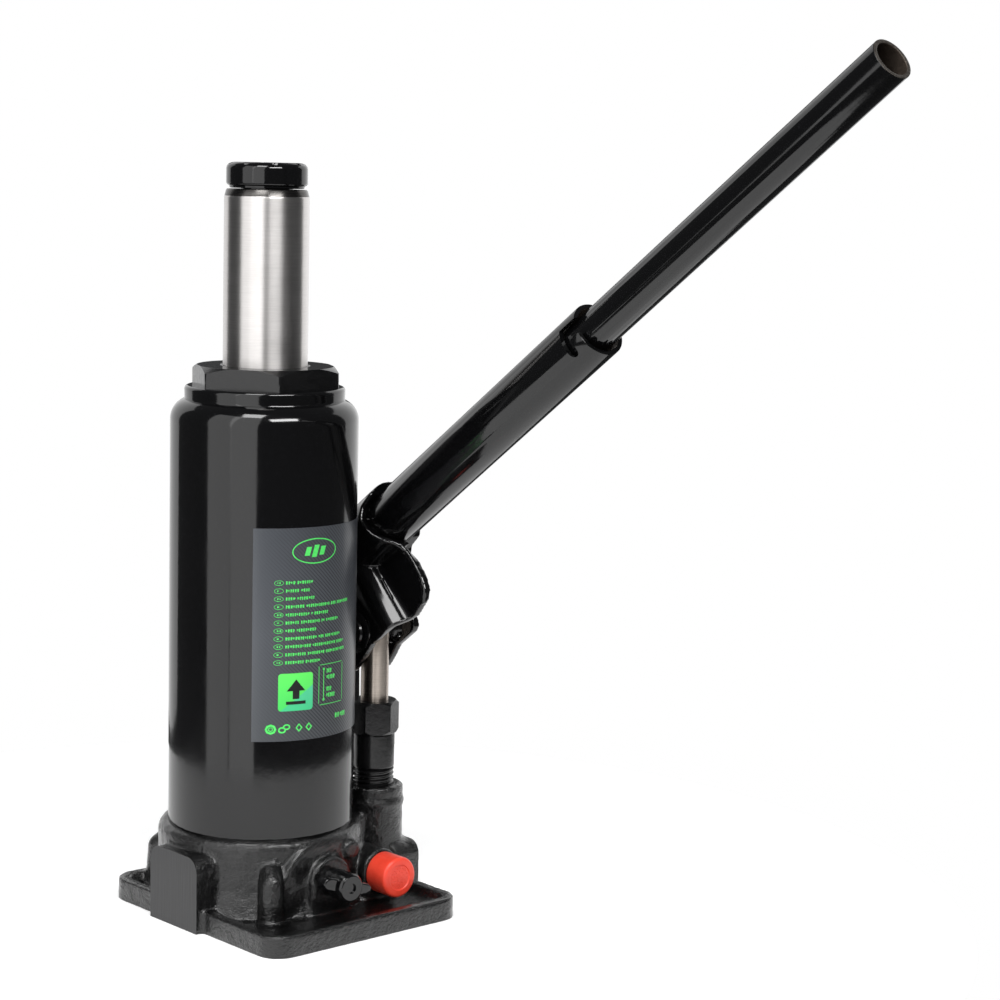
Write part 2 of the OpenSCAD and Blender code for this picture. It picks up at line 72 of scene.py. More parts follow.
def objectCoords(tree, scale=(1, 1, 1), turn=(0, 0, 0)):
    coords = addNode(tree, "ShaderNodeTexCoord")
    return addNode(tree, "ShaderNodeMapping", inputs={"Scale": scale, "Rotation": turn},
                   links={"Vector": coords.outputs["Object"]}).outputs[0]


def noiseOf(tree, vector, sizeMm, detail=2, rough=0.5, distortion=0.0):
    return addNode(tree, "ShaderNodeTexNoise", links={"Vector": vector},
                   inputs={"Scale": 1000 / sizeMm, "Detail": detail, "Roughness": rough,
                           "Distortion": distortion}).outputs[0]


def ramp(tree, source, stops, out=0):  # stops: position, hex or grey value
    made = addNode(tree, "ShaderNodeValToRGB", links={"Fac": source})
    while len(made.color_ramp.elements) < len(stops):
        made.color_ramp.elements.new(0.5)
    for element, (place, value) in zip(made.color_ramp.elements, stops):
        element.position = place
        element.color = hexColor(value) if isinstance(value, str) else (value, value, value, 1)
    return made.outputs[out]


def bumpOf(tree, shader, height, distanceMm, strength=1.0, below=None):
    links = {"Height": height}
    if below:
        links["Normal"] = below
    made = addNode(tree, "ShaderNodeBump", links=links,
                   inputs={"Strength": strength, "Distance": distanceMm * mm})
    tree.links.new(made.outputs[0], shader.inputs["Normal"])
    return made.outputs[0]


# ---- materials ----

def enamelMaterial():  # stoved black enamel, sprayed: deep gloss with a faint orange peel and fine dust
    made, tree, shader = newMaterial("stoved black enamel", **{
        "Base Color": hexColor("#09090A"), "Roughness": 0.1, "IOR": 1.5})
    vector = objectCoords(tree)
    cloud = noiseOf(tree, vector, 22, detail=4)
    dust = noiseOf(tree, vector, 1.1, detail=1)
    base = ramp(tree, dust, [(0.0, "#080809"), (0.68, "#0A0A0B"), (0.8, "#17171A")])
    tree.links.new(base, shader.inputs["Base Color"])
    tree.links.new(ramp(tree, cloud, [(0.3, 0.06), (0.75, 0.15)]), shader.inputs["Roughness"])
    peel = noiseOf(tree, vector, 3.2, detail=2)  # peel cells about 3 mm across
    bumpOf(tree, shader, peel, 0.012)
    return made


def castEnamelMaterial():  # the same enamel over a sand casting: glossy, grainy, with sparkling lumps
    made, tree, shader = newMaterial("black enamel over sand casting", **{
        "Base Color": hexColor("#0B0B0C"), "Roughness": 0.24, "IOR": 1.5,
        "Coat Weight": 0.3, "Coat Roughness": 0.12})
    vector = objectCoords(tree)
    lumps = noiseOf(tree, vector, 2.4, detail=3, rough=0.6)  # sand lumps about 2 mm across
    grains = noiseOf(tree, vector, 1.1, detail=3, rough=0.65)  # grains about 1 mm across
    pits = addNode(tree, "ShaderNodeTexVoronoi", links={"Vector": vector},
                   inputs={"Scale": 1000 / 2.4}).outputs[0]
    base = ramp(tree, grains, [(0.25, "#040405"), (0.6, "#090909"), (0.85, "#141415")])
    tree.links.new(base, shader.inputs["Base Color"])
    tree.links.new(ramp(tree, lumps, [(0.25, 0.24), (0.7, 0.09)]), shader.inputs["Roughness"])
    first = bumpOf(tree, shader, lumps, 0.28)
    second = bumpOf(tree, shader, grains, 0.5, below=first)
    bumpOf(tree, shader, ramp(tree, pits, [(0.0, 0.0), (0.28, 1.0)]), 0.05, below=second)
    return made


def machinedEnamelMaterial():  # a milled face under thin enamel: upright tool marks show through
    made, tree, shader = newMaterial("thin enamel over milled iron", **{
        "Base Color": hexColor("#151516"), "Roughness": 0.34, "IOR": 1.5})
    marks = noiseOf(tree, objectCoords(tree, scale=(1, 1, 0.03)), 0.8, detail=3, rough=0.7)
    tree.links.new(ramp(tree, marks, [(0.3, "#0D0D0E"), (0.8, "#2A2A2C")]), shader.inputs["Base Color"])
    tree.links.new(ramp(tree, marks, [(0.3, 0.28), (0.8, 0.46)]), shader.inputs["Roughness"])
    bumpOf(tree, shader, marks, 0.06)
    return made


def satinBlackMaterial():  # black paint on turned and forged steel: softer gloss, slightly uneven
    made, tree, shader = newMaterial("satin black paint on steel", **{
        "Base Color": hexColor("#0D0D0E"), "Roughness": 0.22, "IOR": 1.5})
    vector = objectCoords(tree)
    flow = noiseOf(tree, vector, 2.2, detail=4, rough=0.6)
    tree.links.new(ramp(tree, flow, [(0.3, "#0A0A0B"), (0.8, "#121213")]), shader.inputs["Base Color"])
    tree.links.new(ramp(tree, flow, [(0.3, 0.18), (0.75, 0.28)]), shader.inputs["Roughness"])
    bumpOf(tree, shader, flow, 0.05)
    return made


def steelMaterial(name, dark, light, low, high, rings, depth, spread=0.0):  # turned or ground about its axis
    made, tree, shader = newMaterial(name, **{
        "Base Color": hexColor(light), "Roughness": (low + high) / 2, "Metallic": 1.0, "Anisotropic": spread,
        "Anisotropic Rotation": 0.25})
    lines = noiseOf(tree, objectCoords(tree, scale=(0.03, 0.03, 1)), rings, detail=4, rough=0.7)
    cloud = noiseOf(tree, objectCoords(tree), 9, detail=3)
    mixed = addNode(tree, "ShaderNodeMix", data_type="FLOAT", inputs={0: 0.35}, links={2: lines, 3: cloud}).outputs[0]
    tree.links.new(ramp(tree, mixed, [(0.3, dark), (0.65, light)]), shader.inputs["Base Color"])
    tree.links.new(ramp(tree, mixed, [(0.3, low), (0.7, high)]), shader.inputs["Roughness"])
    around = addNode(tree, "ShaderNodeTangent", direction_type="RADIAL", axis="Z")
    tree.links.new(around.outputs[0], shader.inputs["Tangent"])
    bumpOf(tree, shader, lines, depth)
    return made


def plainMaterial(name, color, low, high, sizeMm, depth, metallic=0.0, darker=0.75):
    made, tree, shader = newMaterial(name, **{
        "Base Color": hexColor(color), "Roughness": (low + high) / 2, "Metallic": metallic})
    grain = noiseOf(tree, objectCoords(tree), sizeMm, detail=3)
    tone = addNode(tree, "ShaderNodeMix", data_type="RGBA", links={0: grain},
                   inputs={6: tuple(c * darker for c in hexColor(color)[:3]) + (1,), 7: hexColor(color)})
    tree.links.new(tone.outputs[2], shader.inputs["Base Color"])
    tree.links.new(ramp(tree, grain, [(0.3, low), (0.75, high)]), shader.inputs["Roughness"])
    bumpOf(tree, shader, grain, depth)
    return made


def capMaterial():  # injection-moulded polyethylene: even bright red, soft shine, light passes a little
    made, tree, shader = newMaterial("red moulded polyethylene", **{
        "Base Color": hexColor("#E8432E"), "Roughness": 0.36, "IOR": 1.5,
        "Subsurface Weight": 0.12, "Subsurface Radius": (0.9, 0.3, 0.2), "Subsurface Scale": 0.002})
    vector = objectCoords(tree)
    grain = noiseOf(tree, vector, 0.7, detail=3)
    cloud = noiseOf(tree, vector, 6, detail=2)
    tree.links.new(ramp(tree, cloud, [(0.3, "#E03C28"), (0.7, "#F04B36")]), shader.inputs["Base Color"])
    tree.links.new(ramp(tree, grain, [(0.3, 0.3), (0.7, 0.44)]), shader.inputs["Roughness"])
    bumpOf(tree, shader, grain, 0.02)
    return made


def labelMaterial():  # printed polyester film: dark grey with fine slanting lines, lighter towards the top
    made, tree, shader = newMaterial("printed grey film", **{
        "Base Color": hexColor("#55585C"), "Roughness": 0.4, "IOR": 1.46,
        "Coat Weight": 0.3, "Coat Roughness": 0.2})
    place = addNode(tree, "ShaderNodeUVMap", uv_map="flat").outputs[0]  # millimetres along the film
    parts = addNode(tree, "ShaderNodeSeparateXYZ", links={0: place})
    slant = addNode(tree, "ShaderNodeMath", operation="ADD",
                    links={0: parts.outputs[0], 1: parts.outputs[1]}).outputs[0]
    wave = addNode(tree, "ShaderNodeMath", operation="MULTIPLY", links={0: slant}, inputs={1: 2 * pi / 1.5})
    line = addNode(tree, "ShaderNodeMath", operation="SINE", links={0: wave.outputs[0]}).outputs[0]
    rise = addNode(tree, "ShaderNodeMapRange", links={0: parts.outputs[1]},
                   inputs={1: 0.0, 2: 79.0, 3: 0.0, 4: 1.0}).outputs[0]
    across = addNode(tree, "ShaderNodeMapRange", links={0: parts.outputs[0]},
                     inputs={1: 2.0, 2: 30.0, 3: 0.1, 4: 1.0}).outputs[0]
    tone = ramp(tree, rise, [(0.0, "#43464A"), (0.5, "#4B4E53"), (1.0, "#44474C")])
    bright = ramp(tree, rise, [(0.0, "#121314"), (0.5, "#191A1C"), (1.0, "#2A2C2F")])
    amount = addNode(tree, "ShaderNodeMath", operation="MULTIPLY",
                     links={0: ramp(tree, line, [(0.45, 0.0), (0.8, 1.0)]), 1: across}).outputs[0]
    mixed = addNode(tree, "ShaderNodeMix", data_type="RGBA", links={0: amount, 6: tone, 7: bright})
    tree.links.new(mixed.outputs[2], shader.inputs["Base Color"])
    bumpOf(tree, shader, noiseOf(tree, objectCoords(tree), 2.2), 0.01)
    return made


def inkMaterial():  # bright green screen ink, its tone and shine varying a little at random
    made, tree, shader = newMaterial("green screen ink", **{
        "Base Color": hexColor("#4BD860"), "Roughness": 0.42})
    grain = noiseOf(tree, objectCoords(tree), 0.9)
    tree.links.new(ramp(tree, grain, [(0.3, "#48D45C"), (0.7, "#5CE36C")]), shader.inputs["Base Color"])
    tree.links.new(ramp(tree, grain, [(0.3, 0.36), (0.7, 0.5)]), shader.inputs["Roughness"])
    return made


enamel = enamelMaterial()
castEnamel = castEnamelMaterial()
milledEnamel = machinedEnamelMaterial()
satinBlack = satinBlackMaterial()
# ground rod: hair-fine rings round it draw every reflection out along its length
groundSteel = steelMaterial("ground rod steel", "#C6C3C1", "#DAD7D5", 0.33, 0.38, 0.3, 0.0008, 0.88)
# hard plunger: the same finish, darker and a little brown
plungerSteel = steelMaterial("turned plunger steel", "#A89D92", "#C9BFB5", 0.3, 0.36, 0.3, 0.001, 0.85)
turnedSteel = steelMaterial("turned bright steel", "#8F8E8B", "#BDBBB7", 0.25, 0.42, 0.5, 0.01, 0.4)
chamferSteel = steelMaterial("turned chamfer, left dark", "#3A3938", "#5C5A58", 0.22, 0.3, 0.4, 0.004, 0.5)
springSteel = steelMaterial("drawn spring steel", "#7D7E80", "#ABACAD", 0.25, 0.4, 0.8, 0.008)
# the bore of a welded tube, left bare: brown-grey mill scale
scaleSteel = plainMaterial("bare mill scale", "#5A5048", 0.35, 0.6, 2.2, 0.05, metallic=0.7)
wornSteel = plainMaterial("worn cut edge", "#6E6862", 0.35, 0.55, 0.7, 0.04, metallic=0.8, darker=0.3)
copper = plainMaterial("annealed copper", "#B87346", 0.28, 0.45, 1.5, 0.02, metallic=1.0)
brass = plainMaterial("woven brass", "#B89A55", 0.3, 0.5, 0.6, 0.05, metallic=1.0)
rubber = plainMaterial("moulded nitrile rubber", "#161617", 0.5, 0.7, 0.8, 0.02)
sealPlastic = plainMaterial("cast polyurethane seal", "#8A3A1E", 0.35, 0.5, 2.0, 0.02)
guidePlastic = plainMaterial("natural acetal", "#D8CDAE", 0.35, 0.5, 2.0, 0.01)
capRed = capMaterial()
labelFilm = labelMaterial()
greenInk = inkMaterial()
print("materials made")


# ---- mesh tools; shapes are worked in millimetres and scaled once, at the end ----

def joined(*parts):  # several shells in one mesh
    out = bmesh.new()
    for part in parts:
        mesh = bpy.data.meshes.new("part")
        part.to_mesh(mesh)
        out.from_mesh(mesh)
        bpy.data.meshes.remove(mesh)
        part.free()
    return out


def workObject(bm):
    mesh = bpy.data.meshes.new("work")
    bm.to_mesh(mesh)
    made = bpy.data.objects.new("work", mesh)
    bpy.context.scene.collection.objects.link(made)
    return made


def dropObject(made):
    mesh = made.data
    bpy.data.objects.remove(made)
    bpy.data.meshes.remove(mesh)


def modified(bm, *steps):  # runs modifiers over a mesh and keeps their result
    made = workObject(bm)
    for kind, settings in steps:
        step = made.modifiers.new(kind, kind)
        for key, value in settings.items():
            setattr(step, key, value)
    mesh = bpy.data.meshes.new_from_object(made.evaluated_get(bpy.context.evaluated_depsgraph_get()))
    bm.clear()
    bm.from_mesh(mesh)
    bpy.data.meshes.remove(mesh)
    dropObject(made)
    return bm


def combined(bm, other, operation="DIFFERENCE"):
    tool = workObject(other)
    other.free()
    modified(bm, ("BOOLEAN", {"operation": operation, "solver": "EXACT", "object": tool}))
    dropObject(tool)
    bmesh.ops.remove_doubles(bm, verts=bm.verts, dist=1e-4)
    return bm


def soften(bm, width, segments=3, angle=30, test=None):  # rounds the edges sharper than angle
    sharp = [e for e in bm.edges if len(e.link_faces) == 2 and e.calc_face_angle(0) > radians(angle)
             and (test is None or test(e))]
    bmesh.ops.bevel(bm, geom=sharp, offset=width, segments=segments, profile=0.5, affect="EDGES",
                    material=-1, clamp_overlap=True)
    return bm


def supported(profile, closed):  # adds a point close to each end of a long line, so that it stays straight
    out = []
    for a, b in zip(profile, profile[1:] + profile[:1]):
        out.append(a)
        run = sqrt((b[0] - a[0]) ** 2 + (b[1] - a[1]) ** 2)
        if run > 3 and (closed or b is not profile[0]) and max(a[0], b[0]) > 0:
            out += [(a[0] + (b[0] - a[0]) * t, a[1] + (b[1] - a[1]) * t) for t in (0.3 / run, 1 - 0.3 / run)]
    return out


def lathe(profile, steps=96, closed=True, rounding=0, segments=3, angle=25, axis=None):
    bm = bmesh.new()
    rail = [bm.verts.new((r, 0, z)) for r, z in supported(profile, closed)]
    pairs = list(zip(rail, rail[1:])) + ([(rail[-1], rail[0])] if closed else [])
    edges = [bm.edges.new(pair) for pair in pairs if pair[0] is not pair[1]]
    bmesh.ops.spin(bm, geom=rail + edges, cent=(0, 0, 0), axis=(0, 0, 1), dvec=(0, 0, 0), angle=2 * pi,
                   steps=steps, use_merge=True)
    bmesh.ops.remove_doubles(bm, verts=bm.verts, dist=1e-4)
    bmesh.ops.dissolve_degenerate(bm, edges=bm.edges, dist=1e-4)
    wires = [e for e in bm.edges if not e.link_faces]
    bmesh.ops.delete(bm, geom=wires, context="EDGES")
    bmesh.ops.recalc_face_normals(bm, faces=bm.faces)
    if rounding:
        soften(bm, rounding, segments, angle)
    if axis:
        bmesh.ops.transform(bm, matrix=axis, verts=bm.verts)
    return bm


def block(low, high, corner=0, top=0, cornerSegments=8):
    bm = bmesh.new()
    bmesh.ops.create_cube(bm, size=1)
    size = [h - l for l, h in zip(low, high)]
    bmesh.ops.scale(bm, vec=size, verts=bm.verts)
    bmesh.ops.translate(bm, vec=[(l + h) / 2 for l, h in zip(low, high)], verts=bm.verts)
    if corner:
        upright = [e for e in bm.edges if abs(e.verts[0].co.z - e.verts[1].co.z) > size[2] / 2]
        bmesh.ops.bevel(bm, geom=upright, offset=corner, segments=cornerSegments, profile=0.5,
                        affect="EDGES", material=-1)
    if top:
        rim = [e for e in bm.edges if min(v.co.z for v in e.verts) > high[2] - 1e-4]
        bmesh.ops.bevel(bm, geom=rim, offset=top, segments=3, profile=0.5, affect="EDGES", material=-1)
    return bm


def rod(r, start, end, steps=48, r2=None):  # cylinder or cone between two points
    start, end = Vector(start), Vector(end)
    bm = bmesh.new()
    bmesh.ops.create_cone(bm, cap_ends=True, segments=steps, radius1=r, radius2=r if r2 is None else r2,
                          depth=(end - start).length)
    turn = (end - start).to_track_quat("Z", "Y").to_matrix().to_4x4()
    bmesh.ops.transform(bm, matrix=Matrix.Translation((start + end) / 2) @ turn, verts=bm.verts)
    return bm


def ball(r, centre, flat=(1, 1, 1), steps=24):
    bm = bmesh.new()
    bmesh.ops.create_uvsphere(bm, u_segments=steps, v_segments=steps // 2, radius=r)
    bmesh.ops.scale(bm, vec=flat, verts=bm.verts)
    bmesh.ops.translate(bm, vec=centre, verts=bm.verts)
    return bm


def hull(*parts):
    bm = joined(*parts)
    result = bmesh.ops.convex_hull(bm, input=bm.verts)
    spare = [g for g in result["geom_interior"] + result["geom_unused"] if isinstance(g, bmesh.types.BMVert)]
    bmesh.ops.delete(bm, geom=list(set(spare)), context="VERTS")
    bmesh.ops.dissolve_limit(bm, angle_limit=radians(1), verts=bm.verts, edges=bm.edges)
    return bm


def plate(points, thickness, matrix):  # flat outline in XY given a thickness along Z, then placed
    bm = bmesh.new()
    face = bm.faces.new([bm.verts.new((x, y, 0)) for x, y in points])
    grown = bmesh.ops.extrude_face_region(bm, geom=[face])["geom"]
    bmesh.ops.translate(bm, vec=(0, 0, thickness), verts=[g for g in grown if isinstance(g, bmesh.types.BMVert)])
    bmesh.ops.recalc_face_normals(bm, faces=bm.faces)
    bmesh.ops.transform(bm, matrix=matrix, verts=bm.verts)
    bmesh.ops.recalc_face_normals(bm, faces=bm.faces)
    return bm


def thread(root, crest, pitch, low, high, steps=48, axis=None):  # one helical V-thread, cut square at both ends
    bm = bmesh.new()
    shape = [(root, 0), (crest, 0.36), (crest, 0.5), (root, 0.86), (root, 1)]
    rail = [bm.verts.new((r, 0, low + (z - 2) * pitch)) for r, z in shape]
    edges = [bm.edges.new(pair) for pair in zip(rail, rail[1:])]
    turns = int((high - low) / pitch) + 4
    bmesh.ops.spin(bm, geom=rail + edges, cent=(0, 0, 0), axis=(0, 0, 1), dvec=(0, 0, pitch / steps),
                   angle=2 * pi * turns, steps=steps * turns)
    bmesh.ops.remove_doubles(bm, verts=bm.verts, dist=1e-3)
    for z, outer in ((low, False), (high, True)):
        bmesh.ops.bisect_plane(bm, geom=bm.verts[:] + bm.edges[:] + bm.faces[:], dist=1e-5, plane_co=(0, 0, z),
                               plane_no=(0, 0, 1), clear_outer=outer, clear_inner=not outer)
        rim = [e for e in bm.edges if e.is_boundary and all(abs(v.co.z - z) < 1e-3 for v in e.verts)]
        bmesh.ops.edgeloop_fill(bm, edges=rim)
    bmesh.ops.recalc_face_normals(bm, faces=bm.faces)
    if axis:
        bmesh.ops.transform(bm, matrix=axis, verts=bm.verts)
    return bm


def paint(bm, index, test):  # gives the faces that pass the test another of the piece's materials
    for face in bm.faces:
        if test(face.calc_center_median(), face.normal):
            face.material_index = index


def finished(name, bm, materials, body, nodes, sharp=40, weighted=False):
    bmesh.ops.scale(bm, vec=(mm, mm, mm), verts=bm.verts)
    mesh = bpy.data.meshes.new(name)
    bm.to_mesh(mesh)
    bm.free()
    for material in materials:
        mesh.materials.append(material)
    mesh.shade_smooth()
    mesh.set_sharp_from_angle(angle=radians(sharp))
    made = bpy.data.objects.new(name, mesh)
    bpy.context.scene.collection.objects.link(made)
    if weighted:
        step = made.modifiers.new("even normals", "WEIGHTED_NORMAL")
        step.keep_sharp = True
    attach(made, body)
    if nodes:
        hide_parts(*nodes)
    return made


towardsFront = Matrix.Rotation(radians(90), 4, "X")  # Z runs to the operator's side, along -Y
towardsPump = Matrix.Rotation(radians(90), 4, "Y")  # Z runs along +X
towardsBack = Matrix.Rotation(radians(-90), 4, "X")
handleTilt = 36
pumpAt = Vector((51, -5, 0))
handleFrame = Matrix.Translation((51, -5, 138.9)) @ Matrix.Rotation(radians(90 - handleTilt), 4, "X")


def arcPoints(cx, cy, r, start, end, count):
    return [(cx + r * cos(radians(start + (end - start) * i / count)),
             cy + r * sin(radians(start + (end - start) * i / count))) for i in range(count + 1)]


# ---- base casting ----

baseValues = {
    "voxel": 0.72,  # size of the remesh cells
    "softening": 9,  # rounds of smoothing, which make the casting's fillets
    "grain": 0.13,  # height of the sand grain
}


def archShape(x, z, r, back, front):  # boss with a round top and legs down to the plate
    return joined(rod(r, (x, back, z), (x, front, z), 64), block((x - r, front, 1), (x + r, back, z)))


def padShape(x0, x1, top, corner):  # stepped pad with two round shoulders, milled flat later
    bm = block((x0, -19.6, -1.5), (x1, 9.9, top))
    shoulders = [e for e in bm.edges if min(v.co.z for v in e.verts) > top - 0.1
                 and abs(e.verts[0].co.x - e.verts[1].co.x) > 1]
    bmesh.ops.bevel(bm, geom=shoulders, offset=corner, segments=8, profile=0.5, affect="EDGES", material=-1)
    return bm


def makeBase(values):
    slab = block((-40.5, -62.5, -1.5), (48.5, 42, 8), corner=9)
    lid = max(slab.faces, key=lambda f: f.calc_center_median().z)
    bmesh.ops.inset_region(slab, faces=[lid], thickness=4.2)
    bmesh.ops.inset_region(slab, faces=[lid], thickness=2, depth=-3.2)
    cup = lathe([(0, -1.5), (41.5, -1.5), (41.5, 5), (40.2, 9), (39, 14), (38.7, 20), (38.7, 30.5),
                 (37.8, 32.8), (36, 33.6), (33, 33.6), (0, 33.6)], steps=96)
    shapes = [slab, cup,
              padShape(-47, -30, 28, 5.5),
              padShape(51, 66, 17.5, 5),
              rod(11.7, (51, -5, -1.5), (51, -5, 40.2), 64),
              rod(12.3, (51, -5, 32.6), (51, -5, 34.4), 64),
              block((33, -11.8, 0), (47, 2, 30)),
              archShape(-4, 17, 13.7, -20, -38.6),
              archShape(2, 17, 9.3, -30, -41.7),
              archShape(29, 15.2, 8.7, -15, -37.6),
              rod(5.6, (29, -36, 15.2), (29, -43.6, 15.2), 48),
              rod(3.6, (14.5, -30, 27), (14.5, -38.6, 26.4), 32),
              hull(rod(6.9, (48, 17.6, 44), (54, 17.6, 44), 48), block((48, 10.7, 0), (54, 24.5, 20))),
              block((48, -3, 0), (54, 17, 32))]
    for angle, reach in ((-121, 44.5), (125, 43.5), (62, 43.5)):
        turn = Matrix.Rotation(radians(angle), 4, "Z")
        rib = joined(hull(ball(4.6, (34, 0, 24)), ball(4.2, (reach - 2.6, 0, 19)), ball(4.6, (reach - 1.6, 0, 2)),
                          ball(5, (34, 0, 2))))
        bmesh.ops.transform(rib, matrix=turn, verts=rib.verts)
        shapes.append(rib)
    bm = joined(*shapes)
    modified(bm, ("REMESH", {"mode": "VOXEL", "voxel_size": values["voxel"]}),
             ("SMOOTH", {"factor": 0.5, "iterations": values["softening"]}))
    bm.normal_update()
    for vert in bm.verts:
        place = vert.co
        rise = noise.noise(place * 0.3) * 1.1 + noise.noise(place * 0.85 + Vector((9, 3, 5))) * 0.7
        vert.co = place + vert.normal * rise * values["grain"]
    for at, away in (((-43.5, 0, 0), (-1, 0, 0)), ((62.8, 0, 0), (1, 0, 0)), ((0, 0, 0), (0, 0, -1))):
        bmesh.ops.bisect_plane(bm, geom=bm.verts[:] + bm.edges[:] + bm.faces[:], dist=1e-4, plane_co=at,
                               plane_no=away, clear_outer=True)
        bmesh.ops.holes_fill(bm, edges=[e for e in bm.edges if e.is_boundary], sides=0)
    bores = [rod(35.06, (0, 0, 24), (0, 0, 36), 160), rod(22.1, (0, 0, 20), (0, 0, 25), 96),
             rod(8.15, (51, -5, 20), (51, -5, 42), 64), rod(5, (2, -23, 17), (2, -44, 17), 48),
             rod(3.5, (29, -29, 15.2), (29, -46, 15.2), 40), rod(4, (44, 17.6, 44), (58, 17.6, 44), 40),
             rod(3.1, (57, -5, 17), (66, -5, 17), 32)]
    for bore in bores:
        combined(bm, bore)
    bm.normal_update()
    paint(bm, 1, lambda c, n: abs(n.x) > 0.99 and (c.x < -43.4 or c.x > 62.7) and c.z < 26)
    return finished("baseCasting", bm, [castEnamel, milledEnamel], "body", ["base"], sharp=55)


makeBase(baseValues)
print("base made")


# ---- tank, nut, ram and screw ----

tankValues = {"steps": 180, "radius": 35, "wall": 2.4}


def makeTank(values):
    r, wall = values["radius"], values["wall"]
    outer = [(r, 25.5), (r, 185.5)] + arcPoints(27, 185.5, 8, 0, 68, 12)[1:]
    bead = [(29.75, 193.4)] + arcPoints(28.45, 196.6, 1.4, 0, 90, 6) + [(24.6, 198)]
    inner = [(24.6, 191.1)] + arcPoints(27, 185.5, 8 - wall, 90, 0, 10) + [(r - wall, 25.5)]
    bm = lathe(outer + bead + inner, steps=values["steps"])
    return finished("tankShell", bm, [enamel], "body", ["tank"], sharp=38)


def makeNut():
    hexagon = rod(50 / sqrt(3), (0, 0, 197.9), (0, 0, 205.6), 6)
    bmesh.ops.rotate(hexagon, cent=(0, 0, 0), matrix=Matrix.Rotation(radians(34), 3, "Z"), verts=hexagon.verts)
    turned = lathe([(0, 190), (28.6, 190), (28.6, 203.6), (25.4, 205.6), (0, 205.6)], steps=120)
    bm = combined(hexagon, turned, "INTERSECT")
    combined(bm, rod(24.5, (0, 0, 186), (0, 0, 198.6), 96), "UNION")
    combined(bm, lathe([(0, 180), (15.83, 180), (15.83, 204.6), (17.2, 206), (0, 206)], steps=120))
    combined(bm, lathe([(15, 199.5), (18.5, 199.5), (18.5, 202.5), (15, 202.5)], steps=96))
    soften(bm, 0.35, 2, 28, test=lambda e: min(v.co.z for v in e.verts) > 198.2 and
           min(v.co.xy.length for v in e.verts) > 19)
    return finished("headNut", bm, [satinBlack], "body", ["top_nut"], sharp=35, weighted=True)


def makeRam():
    z = 86.8
    top = 270.5
    outer = [(0, z + 4), (8, z + 4), (8, z + 12), (17.6, z + 12), (17.6, z + 14), (16.6, z + 14),
             (16.6, z + 20), (17.6, z + 20), (17.6, z + 22), (15.75, z + 22), (15.75, top - 2.9),
             (15.6, top - 2.5), (15.05, top - 0.4), (14.7, top)]
    inner = [(11.6, top), (11.1, top - 0.6), (11.1, top - 22), (11.6, top - 22.5), (11.6, top - 106), (0, top - 109)]
    bm = lathe(outer + inner, steps=144)
    paint(bm, 1, lambda c, n: c.z > top - 2.6 and n.z > 0.1)
    return finished("ramRod", bm, [groundSteel, chamferSteel], "ram", ["ram"], sharp=30)


screwValues = {"pitch": 4, "saddleRadius": 15, "grooves": 4}


def makeScrew(values):
    low, under, top = 168.5, 270.9, 280.3
    r = values["saddleRadius"]
    core = lathe([(0, low), (9.8, low), (9.8, low + 1), (8.5, low + 1), (8.5, low + 3.5), (9.7, low + 4.2),
                  (9.7, under + 1), (0, under + 1)], steps=72)
    cut = thread(9.6, 10.98, values["pitch"], low + 5, under - 3)
    saddle = lathe([(0, under), (r - 1.6, under), (r - 1.2, under + 0.2), (r - 1.1, under + 0.9), (r - 0.4, under + 1.2),
                    (r, under + 1.8), (r, top - 2.2), (r - 0.25, top - 1.3), (r - 0.9, top - 0.6), (r - 2, top - 0.15),
                    (r - 3.2, top), (9.4, top), (8.8, top - 0.8), (7.2, top - 0.8), (6.6, top), (4.6, top),
                    (4, top - 1.5), (0, top - 1.5)], steps=120)
    for i in range(values["grooves"]):
        angle = radians(20 + 180 * i / values["grooves"])
        side = Vector((cos(angle), sin(angle), 0)) * (r + 1)
        combined(saddle, rod(1.3, -side + Vector((0, 0, top + 0.35)), side + Vector((0, 0, top + 0.35)), 20))
    bm = joined(core, cut, saddle)
    return finished("extensionScrew", bm, [enamel], "screw", ["extension_screw"], sharp=38)


makeTank(tankValues)
makeNut()
makeRam()
makeScrew(screwValues)
print("tank, nut, ram and screw made")


# ---- label ----

labelValues = {
    "radius": 35.08, "lift": 0.035, "left": -133, "width": 62.9, "low": 70.5, "height": 78.8,
    "rowStart": 58.2, "rowStep": 2.95,
}


def wrapped(bm, values, lift):  # bends a flat sheet drawn in millimetres round the tank
    sheet = bm.loops.layers.uv.new("flat")
    for face in bm.faces:
        for loop in face.loops:
            loop[sheet].uv = (loop.vert.co.x, loop.vert.co.y)
    for vert in bm.verts:
        angle = radians(values["left"]) + vert.co.x / 35
        r = values["radius"] + lift + vert.co.z
        vert.co = (r * cos(angle), r * sin(angle), values["low"] + vert.co.y)
    return bm


def patch(x0, y0, x1, y1, step=1.0):  # flat rectangle, divided so that it bends
    bm = bmesh.new()
    across = max(1, int((x1 - x0) / step))
    bmesh.ops.create_grid(bm, x_segments=across, y_segments=1, size=0.5)
    bmesh.ops.scale(bm, vec=(x1 - x0, y1 - y0, 1), verts=bm.verts)
    bmesh.ops.translate(bm, vec=((x0 + x1) / 2, (y0 + y1) / 2, 0), verts=bm.verts)
    return bm


def hoop(x, y, rx, ry, line, steps=48):  # flat oval outline
    bm = bmesh.new()
    outer, inner = ([bm.verts.new((x + (rx - d) * cos(t), y + (ry - d) * sin(t), 0))
                     for t in (2 * pi * i / steps for i in range(steps))] for d in (0, line))
    rims = [bm.edges.new((ring[i - 1], ring[i])) for ring in (outer, inner) for i in range(steps)]
    bmesh.ops.bridge_loops(bm, edges=rims)
    return bm


